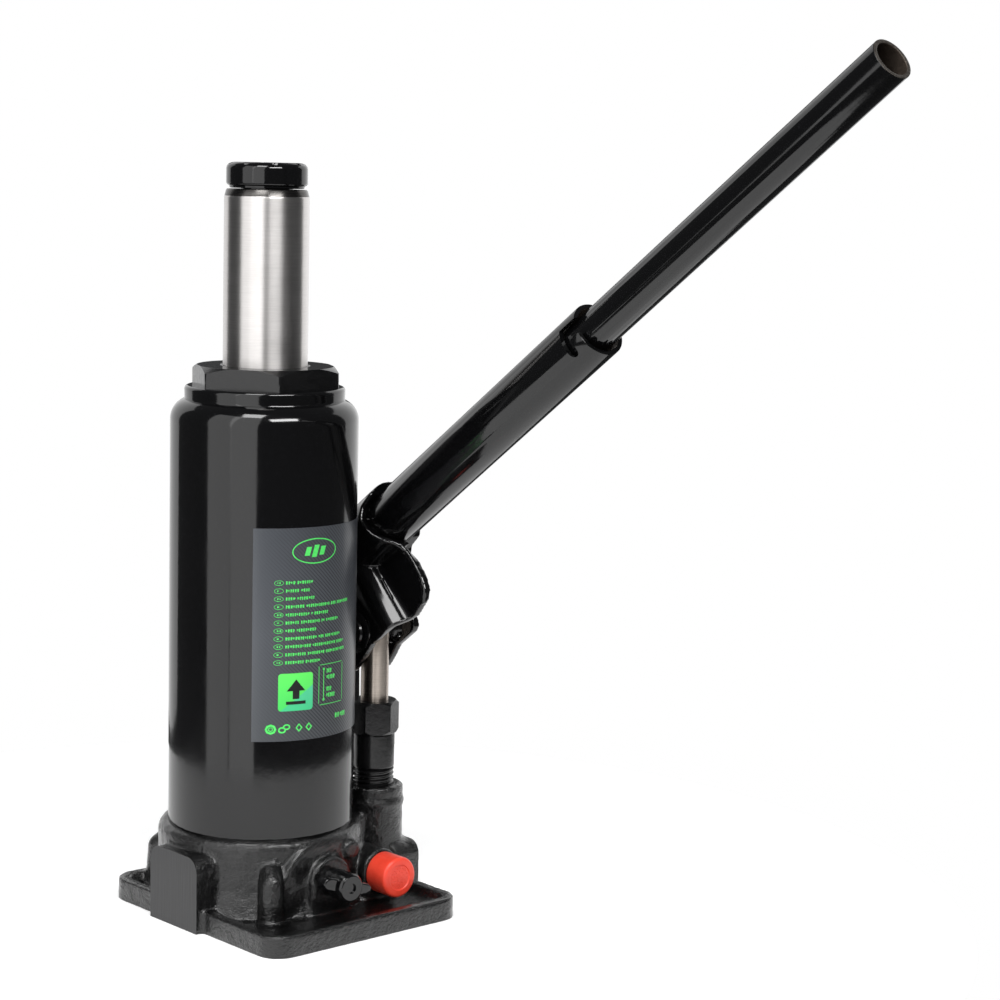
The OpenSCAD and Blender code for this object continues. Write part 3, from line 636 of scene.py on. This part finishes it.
def letters(x, y, count, tall, seed):  # a word's worth of plain upright marks
    marks = []
    for i in range(count):
        wide = 0.36 + 0.3 * noise.random()
        foot = tall * (0.45 if (seed + i * 3) % 5 == 0 else 0)
        marks.append(patch(x, y + foot * 0.5, x + wide, y + tall - foot * 0.3))
        if (seed + i) % 2:
            marks.append(patch(x + wide, y + tall * 0.55, x + wide + 0.25, y + tall * 0.8))
        x += wide + 0.4
    return marks, x


def frameStrips(x0, y0, x1, y1, line):
    return [patch(x0 + 0.6, y0, x1 - 0.6, y0 + line), patch(x0 + 0.6, y1 - line, x1 - 0.6, y1),
            patch(x0, y0 + 0.6, x0 + line, y1 - 0.6), patch(x1 - line, y0 + 0.6, x1, y1 - 0.6)]


def bentSheet(bm, values, lift):  # a printed layer: bent round the tank, facing outwards, thin
    for face in bm.faces:
        face.normal_update()
        if face.normal.z < 0:
            face.normal_flip()
    wrapped(bm, values, lift)
    return modified(bm, ("SOLIDIFY", {"thickness": 0.03, "offset": 1}))


def makeLabel(values):
    film = patch(0, 0, values["width"], values["height"], 0.9)
    wrapped(film, values, 0)
    film = modified(film, ("SOLIDIFY", {"thickness": 0.08, "offset": 1}))
    finished("labelFilm", film, [labelFilm], "body", ["nameplate"], sharp=30)
    noise.seed_set(7)
    marks = [hoop(23.9, 70.0, 9.6, 4.7, 0.42, 64)]
    for i, tall in enumerate((3.2, 4.4, 3.2)):  # three leaning bars inside the oval
        bar = patch(19.6 + i * 3.1, 70 - tall / 2, 21.7 + i * 3.1, 70 + tall / 2)
        for vert in bar.verts:
            vert.co.x += (vert.co.y - 70) * 0.3
        marks.append(bar)
    words = [(4, 7), (6, 4), (4, 8), (8, 12, 3, 8), (11, 1, 7), (6, 9, 2, 7), (4, 9), (14, 3, 9), (11, 12, 5),
             (9, 8, 12), (8, 7)]
    for row, lengths in enumerate(words):
        y = values["rowStart"] - row * values["rowStep"]
        marks.append(hoop(9.5, y + 0.6, 1.75, 0.95, 0.16, 28))
        marks += letters(8.9, y + 0.3, 2, 0.6, row)[0][:2]
        x = 12.1
        for count in lengths:
            made, x = letters(x, y, count, 1.15, row + count)
            marks += made
            x += 0.55
    marks += frameStrips(25.8, 12.2, 38.6, 27.4, 0.22)
    marks += [patch(28, 14.2, 28.3, 25.6), hoop(28.15, 25.6, 0.5, 0.5, 0.3, 12), hoop(28.15, 14.2, 0.5, 0.5, 0.3, 12)]
    for y, count in ((24, 3), (21.6, 5), (17.2, 3), (14.8, 5)):
        marks += letters(29.6, y, count, 1.6, count)[0]
    marks += [hoop(7, 4.6, 2.15, 1.9, 0.85, 8), hoop(7, 4.6, 0.9, 0.8, 0.3, 16), hoop(11.2, 4.2, 1.5, 1.2, 0.6, 16),
              hoop(12.9, 5.3, 1.4, 1.1, 0.55, 16), hoop(17.7, 4.8, 1.4, 1.6, 0.6, 4), hoop(21.7, 4.8, 1.4, 1.6, 0.6, 4)]
    marks += letters(34.4, 6.4, 3, 1.8, 3)[0] + letters(37.6, 6.4, 4, 1.8, 5)[0]
    finished("labelMarks", bentSheet(joined(*marks), values, 0.1), [greenInk], "body", [], sharp=30)
    square = block((9.6, 11.2, -1), (23.2, 25.2, 0), corner=1.2)
    bmesh.ops.delete(square, geom=[f for f in square.faces if f.normal.z < 0.9], context="FACES")
    for step in range(1, 14):
        bmesh.ops.bisect_plane(square, geom=square.verts[:] + square.edges[:] + square.faces[:],
                               plane_co=(9.6 + step * 0.97, 0, 0), plane_no=(1, 0, 0), dist=1e-5)
    head = patch(12.8, 18.6, 20, 22.8, 0.6)  # an arrow that points up from a bar
    for vert in head.verts:
        vert.co.x = 16.4 + (vert.co.x - 16.4) * (0.02 if vert.co.y > 20 else 1)
    emblem = joined(patch(12.6, 13.6, 20.2, 14.8), patch(15.1, 15.6, 17.7, 18.6, 0.6), head)
    finished("labelSquare", bentSheet(square, values, 0.1), [squareInk], "body", [], sharp=30)
    finished("labelEmblem", bentSheet(emblem, values, 0.14), [darkInk], "body", [], sharp=30)


def squareInkMaterial():  # the same green ink, screened darker towards its foot
    made, tree, shader = newMaterial("screened green ink", **{
        "Base Color": hexColor("#3FC25C"), "Roughness": 0.42})
    parts = addNode(tree, "ShaderNodeSeparateXYZ",
                    links={0: addNode(tree, "ShaderNodeUVMap", uv_map="flat").outputs[0]})
    lean = addNode(tree, "ShaderNodeMath", operation="MULTIPLY_ADD", inputs={1: -0.72},
                   links={0: parts.outputs[0], 2: parts.outputs[1]}).outputs[0]
    split = addNode(tree, "ShaderNodeMapRange", links={0: lean}, inputs={1: 3.6, 2: 4.0, 3: 0.0, 4: 1.0}).outputs[0]
    rise = addNode(tree, "ShaderNodeMapRange", links={0: parts.outputs[1]},
                   inputs={1: 11.2, 2: 25.2, 3: 0.0, 4: 1.0}).outputs[0]
    above = ramp(tree, rise, [(0.0, "#45CE5E"), (1.0, "#5FE45F")])
    below = ramp(tree, rise, [(0.0, "#3FBF80"), (1.0, "#58C39A")])
    tone = addNode(tree, "ShaderNodeMix", data_type="RGBA", links={0: split, 6: below, 7: above})
    tree.links.new(tone.outputs[2], shader.inputs["Base Color"])
    return made


squareInk = squareInkMaterial()
darkInk = plainMaterial("black screen ink", "#101412", 0.4, 0.5, 1.0, 0.01)
makeLabel(labelValues)
print("label made")


# ---- pump ----

def makePump():
    at = Matrix.Translation(pumpAt)
    hexagon = rod(17.2 / sqrt(3), (0, 0, 60.5), (0, 0, 73.2), 6)
    turned = lathe([(0, 58), (8.2, 59.8), (9.75, 61.8), (9.75, 71.9), (8.5, 73.2), (0, 73.2)], steps=72)
    bm = combined(hexagon, turned, "INTERSECT")
    combined(bm, rod(5.48, (0, 0, 55), (0, 0, 80), 64))
    soften(bm, 0.25, 2, 28)
    neck = lathe([(5.48, 44), (7.3, 44), (7.3, 46), (8.15, 47.2), (8.15, 60), (7.9, 61.5), (5.48, 61.5)], steps=72,
                 rounding=0.2, segments=2)
    wall = lathe([(5.48, 30), (5.48, 45), (7.1, 45), (7.1, 21.2), (2.5, 21.2), (2.5, 30)], steps=64)
    bm = joined(bm, neck, wall, threadRing())
    bmesh.ops.transform(bm, matrix=at, verts=bm.verts)
    return finished("pumpCylinder", bm, [satinBlack], "body", ["pump_cylinder"], sharp=35, weighted=True)


def threadRing():  # hollow thread: the outer thread with the wall's own bore left open
    bm = thread(7.2, 8.06, 1.8, 22, 46.2)
    bmesh.ops.delete(bm, geom=[f for f in bm.faces if abs(f.normal.z) > 0.999 and len(f.verts) > 12],
                     context="FACES_ONLY")
    for z in (22, 46.2):
        rim = [e for e in bm.edges if e.is_boundary and all(abs(v.co.z - z) < 1e-3 for v in e.verts)]
        grown = bmesh.ops.extrude_edge_only(bm, edges=rim)["geom"]
        for vert in (g for g in grown if isinstance(g, bmesh.types.BMVert)):
            vert.co.xy = vert.co.xy.normalized() * 6.6
    inner = [e for e in bm.edges if e.is_boundary]
    bmesh.ops.bridge_loops(bm, edges=inner)
    bmesh.ops.recalc_face_normals(bm, faces=bm.faces)
    return bm


def makePlunger():
    low, top, r = 45, 108.5, 5.43
    bm = lathe([(0, low), (r, low), (r, low + 2), (4.2, low + 2), (4.2, low + 6.5), (r, low + 6.5),
                (r, top - 2.2)]
               + arcPoints(r - 2.2, top - 2.2, 2.2, 0, 90, 6)[1:] + [(0, top)], steps=64,
               axis=Matrix.Translation(pumpAt))
    combined(bm, rod(4, (40, -5, 101), (62, -5, 101), 48))
    return finished("pumpPlunger", bm, [plungerSteel], "plunger", ["pump_plunger"], sharp=35)


makePump()
makePlunger()
print("pump made")


# ---- linkage ----

pinValues = {"radius": 4, "cheekOut": 9.6, "linkOut": 6}
plungerPinAt = (-5, 101)
fulcrumAt = (-5 + 24 * cos(radians(10)), 101 - 24 * sin(radians(10)))
linkFootAt = (17.6, 44)


def makePin(name, clipName, at, out, headRadius, body, nodes):
    r = pinValues["radius"]
    place = Matrix.Translation((51, at[0], at[1])) @ towardsPump
    pin = lathe([(0, -out - 2.2), (3.4, -out - 2.2), (4.6, -out - 1.8), (5, -out - 1), (headRadius - 0.5, -out - 0.9),
                 (headRadius, -out - 0.7), (headRadius, -out - 0.4), (r, -out - 0.3), (r, out + 0.5),
                 (3.2, out + 0.6), (3.2, out + 1.4), (r, out + 1.5), (r, out + 2.1), (r - 0.5, out + 2.6), (0, out + 2.6)],
                steps=48, axis=place)
    finished(name, pin, [satinBlack], body, [nodes[0]], sharp=40)
    clip = bmesh.new()  # an E-clip: an open ring with three teeth
    rail = [clip.verts.new(p) for p in ((4.5, 0, out + 0.5), (6.4, 0, out + 0.5), (6.4, 0, out + 1.5), (4.5, 0, out + 1.5))]
    face = clip.faces.new(rail)
    bmesh.ops.rotate(clip, cent=(0, 0, 0), matrix=Matrix.Rotation(radians(-60), 3, "Z"), verts=clip.verts)
    bmesh.ops.spin(clip, geom=[face], cent=(0, 0, 0), axis=(0, 0, 1), dvec=(0, 0, 0), angle=radians(300), steps=40,
                   use_merge=False)
    start = block((3.3, -1.1, out + 0.5), (5, 1.1, out + 1.5))
    teeth = [start]
    for angle in (100, 200):
        tooth = block((3.3, -1.1, out + 0.5), (5, 1.1, out + 1.5))
        bmesh.ops.rotate(tooth, cent=(0, 0, 0), matrix=Matrix.Rotation(radians(angle), 3, "Z"), verts=tooth.verts)
        teeth.append(tooth)
    bmesh.ops.recalc_face_normals(clip, faces=clip.faces)
    bm = joined(clip, *teeth)
    bmesh.ops.transform(bm, matrix=place, verts=bm.verts)
    finished(clipName, bm, [springSteel], body, [nodes[1]], sharp=40)


def makeLinks():
    shells = []
    for low, high in ((45.0, 47.7), (54.3, 57.0)):
        bar = hull(rod(6.8, (low, *linkFootAt), (high, *linkFootAt), 48), rod(6.8, (low, *fulcrumAt), (high, *fulcrumAt), 48))
        for at in (linkFootAt, fulcrumAt):
            combined(bar, rod(4.02, (40, *at), (62, *at), 40))
        soften(bar, 0.5, 3, 50)
        shells.append(bar)
    return finished("linkBars", joined(*shells), [satinBlack], "link", ["link_plates"], sharp=40,
                    weighted=True)


makeLinks()
makePin("plungerPin", "plungerClip", plungerPinAt, 9.6, 8.2, "plunger", ("plunger_pin", "plunger_pin_clip"))
makePin("fulcrumPin", "fulcrumClip", fulcrumAt, 9.6, 6.5, "link", ("fulcrum_pin", "fulcrum_pin_clip"))
makePin("linkFootPin", "linkFootClip", linkFootAt, 6, 6.5, "link", ("link_base_pin", "base_pin_clip"))
print("linkage made")


# ---- handle socket ----

socketValues = {
    "voxel": 0.48, "softening": 6,
    "near": [(-8.8, -38), (-8.8, 9), (-16, 13.8), (-21.3, 16.4), (-28, 17.1), (-33.3, 16.2), (-36.2, 12.9), (-38.4, 5),
             (-38.7, -4), (-38.8, -17), (-41, -25), (-42.4, -33), (-37, -43)],
    "far": [(-8.8, -38), (-8.8, 6), (-13, 2.5), (-20, -3), (-30, -7), (-35, -7.4), (-37.6, -8.4), (-38.6, -11),
            (-38.7, -22), (-41, -28), (-42.4, -33), (-37, -43)],
    "nearMouth": [(13, 17.2), (9.6, 14.6), (7, 10.4), (2, 8.4), (-5.1, 10.2), (-11.3, 14), (-15.7, 17.3)],
    "farMouth": [(13, 17.2), (8, 15), (0, 11.6), (-8, 10.6), (-9.6, 6), (-11, 3.6), (-14, 3)],
    "slant": 0.175,  # how the crease of the near cheek leans
}


def socketOutline(points):  # closes a cheek's outline round the fulcrum
    dy, dz = fulcrumAt[0] + 5, fulcrumAt[1] - 138.9
    v = dy * sin(radians(handleTilt)) + dz * cos(radians(handleTilt))
    u = dz * sin(radians(handleTilt)) - dy * cos(radians(handleTilt))
    return points + [(v - 5, u - 7), (v, u - 8.6), (v + 7, u - 5)]


def sideways(x):  # takes an outline drawn across the handle to the place x of the handle's frame
    return Matrix(((0, 0, 1, x), (1, 0, 0, 0), (0, 1, 0, 0), (0, 0, 0, 1)))


def makeCheek(side, points, values):
    outline = plate(socketOutline(points), 40, sideways(-20))
    shape = [(side * x, u) for x, u in (((6.6, -70), (9.6, -70), (9.6, 20), (6.6, 20)) if side > 0 else
                                        ((6.6, -70), (9.6, -70), (9.6, -13), (10.3, -9.4), (10.2, -6.6), (9, -4.6),
                                         (6.4, -2.5), (3.9, -1.1), (3, 0.6), (3, 26), (0, 26), (0, 1.2), (1.2, -2.6),
                                         (6.6, -6.2)))]
    plan = plate(shape, 60, Matrix(((1, 0, 0, 0), (0, 0, -1, 0), (0, 1, 0, 0), (0, 0, 0, 1))))
    for vert in plan.verts:
        if side < 0 and vert.co.z > -20:
            vert.co.z -= values["slant"] * (vert.co.y + 22)
    return combined(plan, outline, "INTERSECT")


def beadAlong(points, r):  # rolled edge that follows a line of points
    beads = [ball(r, at, steps=12) for at in points]
    return [hull(ball(r, a, steps=12), ball(r, b, steps=12)) for a, b in zip(points, points[1:])] + beads


def makeSocket(values):
    cheeks = [makeCheek(-1, values["near"], values), makeCheek(1, values["far"], values)]
    sleeve = lathe([(0, -28), (12.6, -28), (13.3, -27), (13.3, 21), (0, 21)], steps=96)
    for side, line in ((-1, values["nearMouth"]), (1, values["farMouth"])):
        waste = plate([(16, line[0][1])] + line + [(line[-1][0], 40), (16, 40)], 24, sideways(-24 if side < 0 else 0))
        combined(sleeve, waste)
    rim = [(-sqrt(max(0, 12.5 ** 2 - v * v)), v, u - 0.7) for v, u in values["nearMouth"][1:-1]]
    rim += [(-2.3, v, u - 0.9) for v, u in ((-15.5, 15), (-21.3, 16.4), (-28, 17.1), (-33.3, 16.2), (-36.2, 12.9))]
    bm = joined(sleeve, *beadAlong(rim, 1.1), *cheeks)
    modified(bm, ("REMESH", {"mode": "VOXEL", "voxel_size": values["voxel"]}),
             ("SMOOTH", {"factor": 0.5, "iterations": values["softening"]}))
    combined(bm, hull(ball(0.8, (-5.1, -18.6, -1.9), steps=12), ball(0.7, (-5.2, -27.8, -0.4), steps=12)))
    bmesh.ops.transform(bm, matrix=handleFrame, verts=bm.verts)
    combined(bm, rod(10.55, handleFrame @ Vector((0, 0, -26)), handleFrame @ Vector((0, 0, 40)), 96))
    combined(bm, rod(6.35, (30, -7, 101.3), (72, -7, 101.3), 64))
    combined(bm, rod(4.06, (30, *fulcrumAt), (72, *fulcrumAt), 48))
    return finished("leverSocket", bm, [enamel], "lever", ["handle_socket"], sharp=50)


makeSocket(socketValues)
print("socket made")


# ---- handle ----

handleValues = {
    "lower": {"start": -25.5, "end": 147.4, "outer": 10.4, "inner": 8.7},
    "upper": {"start": 108, "end": 302.5, "outer": 7.5, "inner": 6},
    "slotWidth": 6, "slotDepth": 9,
}


def makeTube(name, size, body, nodes, slots=False):
    start, end, outer, inner = (size[k] for k in ("start", "end", "outer", "inner"))
    bm = lathe([(inner, start), (outer, start), (outer, end), (inner, end)], steps=96, rounding=0.3, segments=2)
    if slots:  # hook-shaped slots that grip the release valve's ears
        deep = end - handleValues["slotDepth"]
        half = handleValues["slotWidth"] / 2
        combined(bm, block((-20, 2 - half, deep), (20, 2 + half, end + 5), corner=0))
        for s in (0, 180):
            hook = hull(rod(2.1, (-20, -4.4, deep + 2.1), (-5, -4.4, deep + 2.1), 24),
                        rod(2.1, (-20, 0, deep + 2.1), (-5, 0, deep + 2.1), 24))
            bmesh.ops.rotate(hook, cent=(0, 0, 0), matrix=Matrix.Rotation(radians(s), 3, "Z"), verts=hook.verts)
            combined(bm, hook)
    bm.normal_update()
    paint(bm, 1, lambda c, n: n.xy.length > 0.5 and n.xy.dot(c.xy) < 0 and c.xy.length < inner + 0.1)
    paint(bm, 2, lambda c, n: n.z > 0.6 and c.z > end - 0.5)
    bmesh.ops.transform(bm, matrix=handleFrame, verts=bm.verts)
    return finished(name, bm, [enamel, scaleSteel, wornSteel if not slots else enamel], body, nodes,
                    sharp=40)


makeTube("lowerTube", handleValues["lower"], "lower_handle", ["lower_handle_tube"], slots=True)
makeTube("upperTube", handleValues["upper"], "upper_handle", ["upper_handle_tube"])
print("handle made")


# ---- valves, cap and plug ----

def makeValve():
    at = Matrix.Translation((2, 0, 17)) @ towardsFront
    stem = lathe([(0, 23.5), (1.2, 23.5), (4.2, 26.2), (4.95, 26.4), (4.95, 32.2), (3.6, 32.3), (3.6, 35.1), (4.95, 35.2),
                  (4.95, 44.2), (5.4, 44.5), (5.4, 52.6), (4.7, 53.5), (0, 53.5)], steps=64, rounding=0.2, segments=2)
    ears = hull(rod(2.4, (-9, 0, 46.4), (-9, 0, 51.4), 24), rod(2.4, (9, 0, 46.4), (9, 0, 51.4), 24))
    soften(ears, 0.6, 3, 40)
    bmesh.ops.rotate(ears, cent=(0, 0, 0), matrix=Matrix.Rotation(radians(-17), 3, "Z"), verts=ears.verts)
    combined(stem, ears, "UNION")
    combined(stem, rod(1.9, (0, 0, 52.7), (0, 0, 55), 32))
    bmesh.ops.transform(stem, matrix=at, verts=stem.verts)
    return finished("releaseScrew", stem, [enamel], "valve", ["release_valve"], sharp=38)


def makeCap():
    at = Matrix.Translation((29, 0, 15.2)) @ towardsFront
    outer = [(5.55, 37.8), (7.5, 37.8), (7.75, 38.1)] + arcPoints(6.55, 47.3, 1.2, 0, 90, 6) + [(4.9, 48.5), (4.6, 48.2), (0, 48.2)]
    bm = lathe(outer + [(0, 45), (5.55, 45)], steps=72, axis=None)
    soften(bm, 0.12, 2, 60)
    dots = [rod(0.34, (r * cos(t), r * sin(t), 48), (r * cos(t), r * sin(t), 48.4), 10, r2=0.22)
            for r, count in ((1.1, 5), (2.4, 10), (3.7, 16)) for t in (2 * pi * (i + r * 0.2) / count for i in range(count))]
    bm = joined(bm, *dots)
    bmesh.ops.transform(bm, matrix=at, verts=bm.verts)
    return finished("valveCap", bm, [capRed], "cap", ["overload_cap"], sharp=40)


def makePlug():
    at = Matrix.Translation((0, 31.6, 172)) @ towardsBack
    bm = lathe([(0, 0), (3.2, 0), (3.95, 0.8), (3.95, 3.5), (5.9, 3.5), (6.5, 4), (6.5, 5.2), (6, 5.9), (3.2, 6.1), (3, 7.4),
                (2.4, 7.9), (0, 7.9)], steps=56, axis=at)
    return finished("fillerPlug", bm, [rubber], "filler", ["filler_plug"], sharp=38)


def makePadPlug():
    at = Matrix.Translation((0, -5, 17)) @ towardsPump
    bm = lathe([(0, 57.2), (3.1, 57.2), (3.1, 61.6), (2.7, 62), (0, 62)], steps=40, axis=at)
    combined(bm, rod(1.5, (59.8, -5, 17), (64, -5, 17), 6))
    return finished("padPlug", bm, [satinBlack], "body", ["delivery_plug"], sharp=35)


makeValve()
makeCap()
makePlug()
makePadPlug()
print("valves and plugs made")


# ---- finishes of the pieces kept as built ----

kept = {
    "tank_gasket": rubber, "pressure_cylinder": turnedSteel, "cylinder_gasket": copper, "nut_seal": rubber,
    "wiper_ring": rubber, "piston_cup": sealPlastic, "piston_washer": turnedSteel, "guide_ring": guidePlastic,
    "screw_stop_ring": springSteel, "pump_washer": copper, "plunger_seal": rubber, "backup_ring": guidePlastic,
    "guide_bush": turnedSteel, "stop_bush": turnedSteel, "release_valve_seal": rubber, "release_ball": springSteel,
    "overload_screw": turnedSteel, "overload_spring": springSteel, "overload_ball": springSteel,
    "suction_ball": springSteel, "delivery_ball": springSteel, "delivery_spring": springSteel, "oil_strainer": brass,
}
for nodeName, material in kept.items():
    slots = bodyNodes[nodeName].material_slots
    for slot in slots:
        slot.material = material
print("kept pieces finished")


# ---- floor, lights and camera ----

studio = {
    "floorRadius": 0.27, "background": "#FFFFFF", "ambient": 0.08, "floorGlow": 0.4,
    "panels": {  # turn from the camera, distance, height, size, radiance
        "left panel": (-24.5, 1.2, 0.45, (0.75, 1.9), 1.7),
        "left edge panel": (-55.8, 1.2, 0.45, (0.73, 1.9), 1.5),
        "overhead panel": (-20, 0.5, 1.0, (0.34, 0.3), 11.0),
        "high front panel": (27, 1.25, 1.15, (0.86, 0.32), 20.0),
        "rear right panel": (143, 1.2, 0.4, (1.3, 1.3), 1.1),
        "rear left panel": (-150, 1.2, 0.4, (1.1, 1.3), 0.9),
    },
}


def makeFloor(values):
    bm = bmesh.new()
    bmesh.ops.create_circle(bm, cap_ends=True, segments=96, radius=values["floorRadius"])
    bmesh.ops.translate(bm, vec=(0.0, 0.0, -0.0002), verts=bm.verts)
    mesh = bpy.data.meshes.new("floor")
    bm.to_mesh(mesh)
    bm.free()
    paper, tree, shader = newMaterial("matt paper sweep", **{
        "Base Color": hexColor("#F4F4F4"), "Roughness": 0.9,
        "Emission Color": hexColor("#FFFFFF"), "Emission Strength": values["floorGlow"]})
    bumpOf(tree, shader, noiseOf(tree, objectCoords(tree), 1.5), 0.02)
    mesh.materials.append(paper)
    made = bpy.data.objects.new("floor", mesh)
    bpy.context.scene.collection.objects.link(made)


def aroundCamera(turn, distance, height):  # a place beside the part, turned from the camera's side
    angle = atan2(-0.7517, -0.564) + radians(turn)
    return Vector((distance * cos(angle), distance * sin(angle), height))


def addPanel(name, turn, distance, height, size, radiance):
    lamp = bpy.data.lights.new(name, "AREA")
    lamp.shape = "RECTANGLE"
    lamp.size, lamp.size_y = size
    lamp.energy = radiance * pi * size[0] * size[1]
    made = bpy.data.objects.new(name, lamp)
    made.location = aroundCamera(turn, distance, height)
    made.rotation_euler = (Vector((0, 0, 0.15)) - made.location).to_track_quat("-Z", "Y").to_euler()
    bpy.context.scene.collection.objects.link(made)


makeFloor(studio)
for name, place in studio["panels"].items():
    addPanel(name, *place)

world = bpy.data.worlds.new("studio air")
world.use_nodes = True
tree = world.node_tree
tree.nodes.clear()
path = addNode(tree, "ShaderNodeLightPath")
seen = addNode(tree, "ShaderNodeBackground", inputs={"Color": hexColor(studio["background"]), "Strength": 1.0})
felt = addNode(tree, "ShaderNodeBackground", inputs={"Color": hexColor("#F2F4F6"), "Strength": studio["ambient"]})
choice = addNode(tree, "ShaderNodeMixShader", links={0: path.outputs["Is Camera Ray"], 1: felt.outputs[0], 2: seen.outputs[0]})
addNode(tree, "ShaderNodeOutputWorld", links={"Surface": choice.outputs[0]})
bpy.context.scene.world = world
bpy.context.scene.view_settings.view_transform = "Standard"

cameraValues = {"place": (-0.56395, -0.75166, 0.2833), "azimuth": -42.28, "pitch": 7.69, "roll": 1.306, "lens": 90.75}


def makeCamera(values):
    turn, pitch, roll = (radians(values[k]) for k in ("azimuth", "pitch", "roll"))
    ahead = Vector((-sin(turn), cos(turn), 0))
    right = Vector((cos(turn), sin(turn), 0))
    up = Vector((0, 0, 1))
    forward = ahead * cos(pitch) - up * sin(pitch)
    above = ahead * sin(pitch) + up * cos(pitch)
    rightRolled = right * cos(roll) + above * sin(roll)
    aboveRolled = -right * sin(roll) + above * cos(roll)
    lens = bpy.data.cameras.new("camera")
    lens.lens = values["lens"]
    lens.sensor_width = 36
    lens.clip_start = 0.01
    made = bpy.data.objects.new("camera", lens)
    made.matrix_world = Matrix.Translation(values["place"]) @ Matrix(
        (rightRolled, aboveRolled, -forward)).transposed().to_4x4()
    bpy.context.scene.collection.objects.link(made)
    bpy.context.scene.camera = made


makeCamera(cameraValues)
print("studio made")
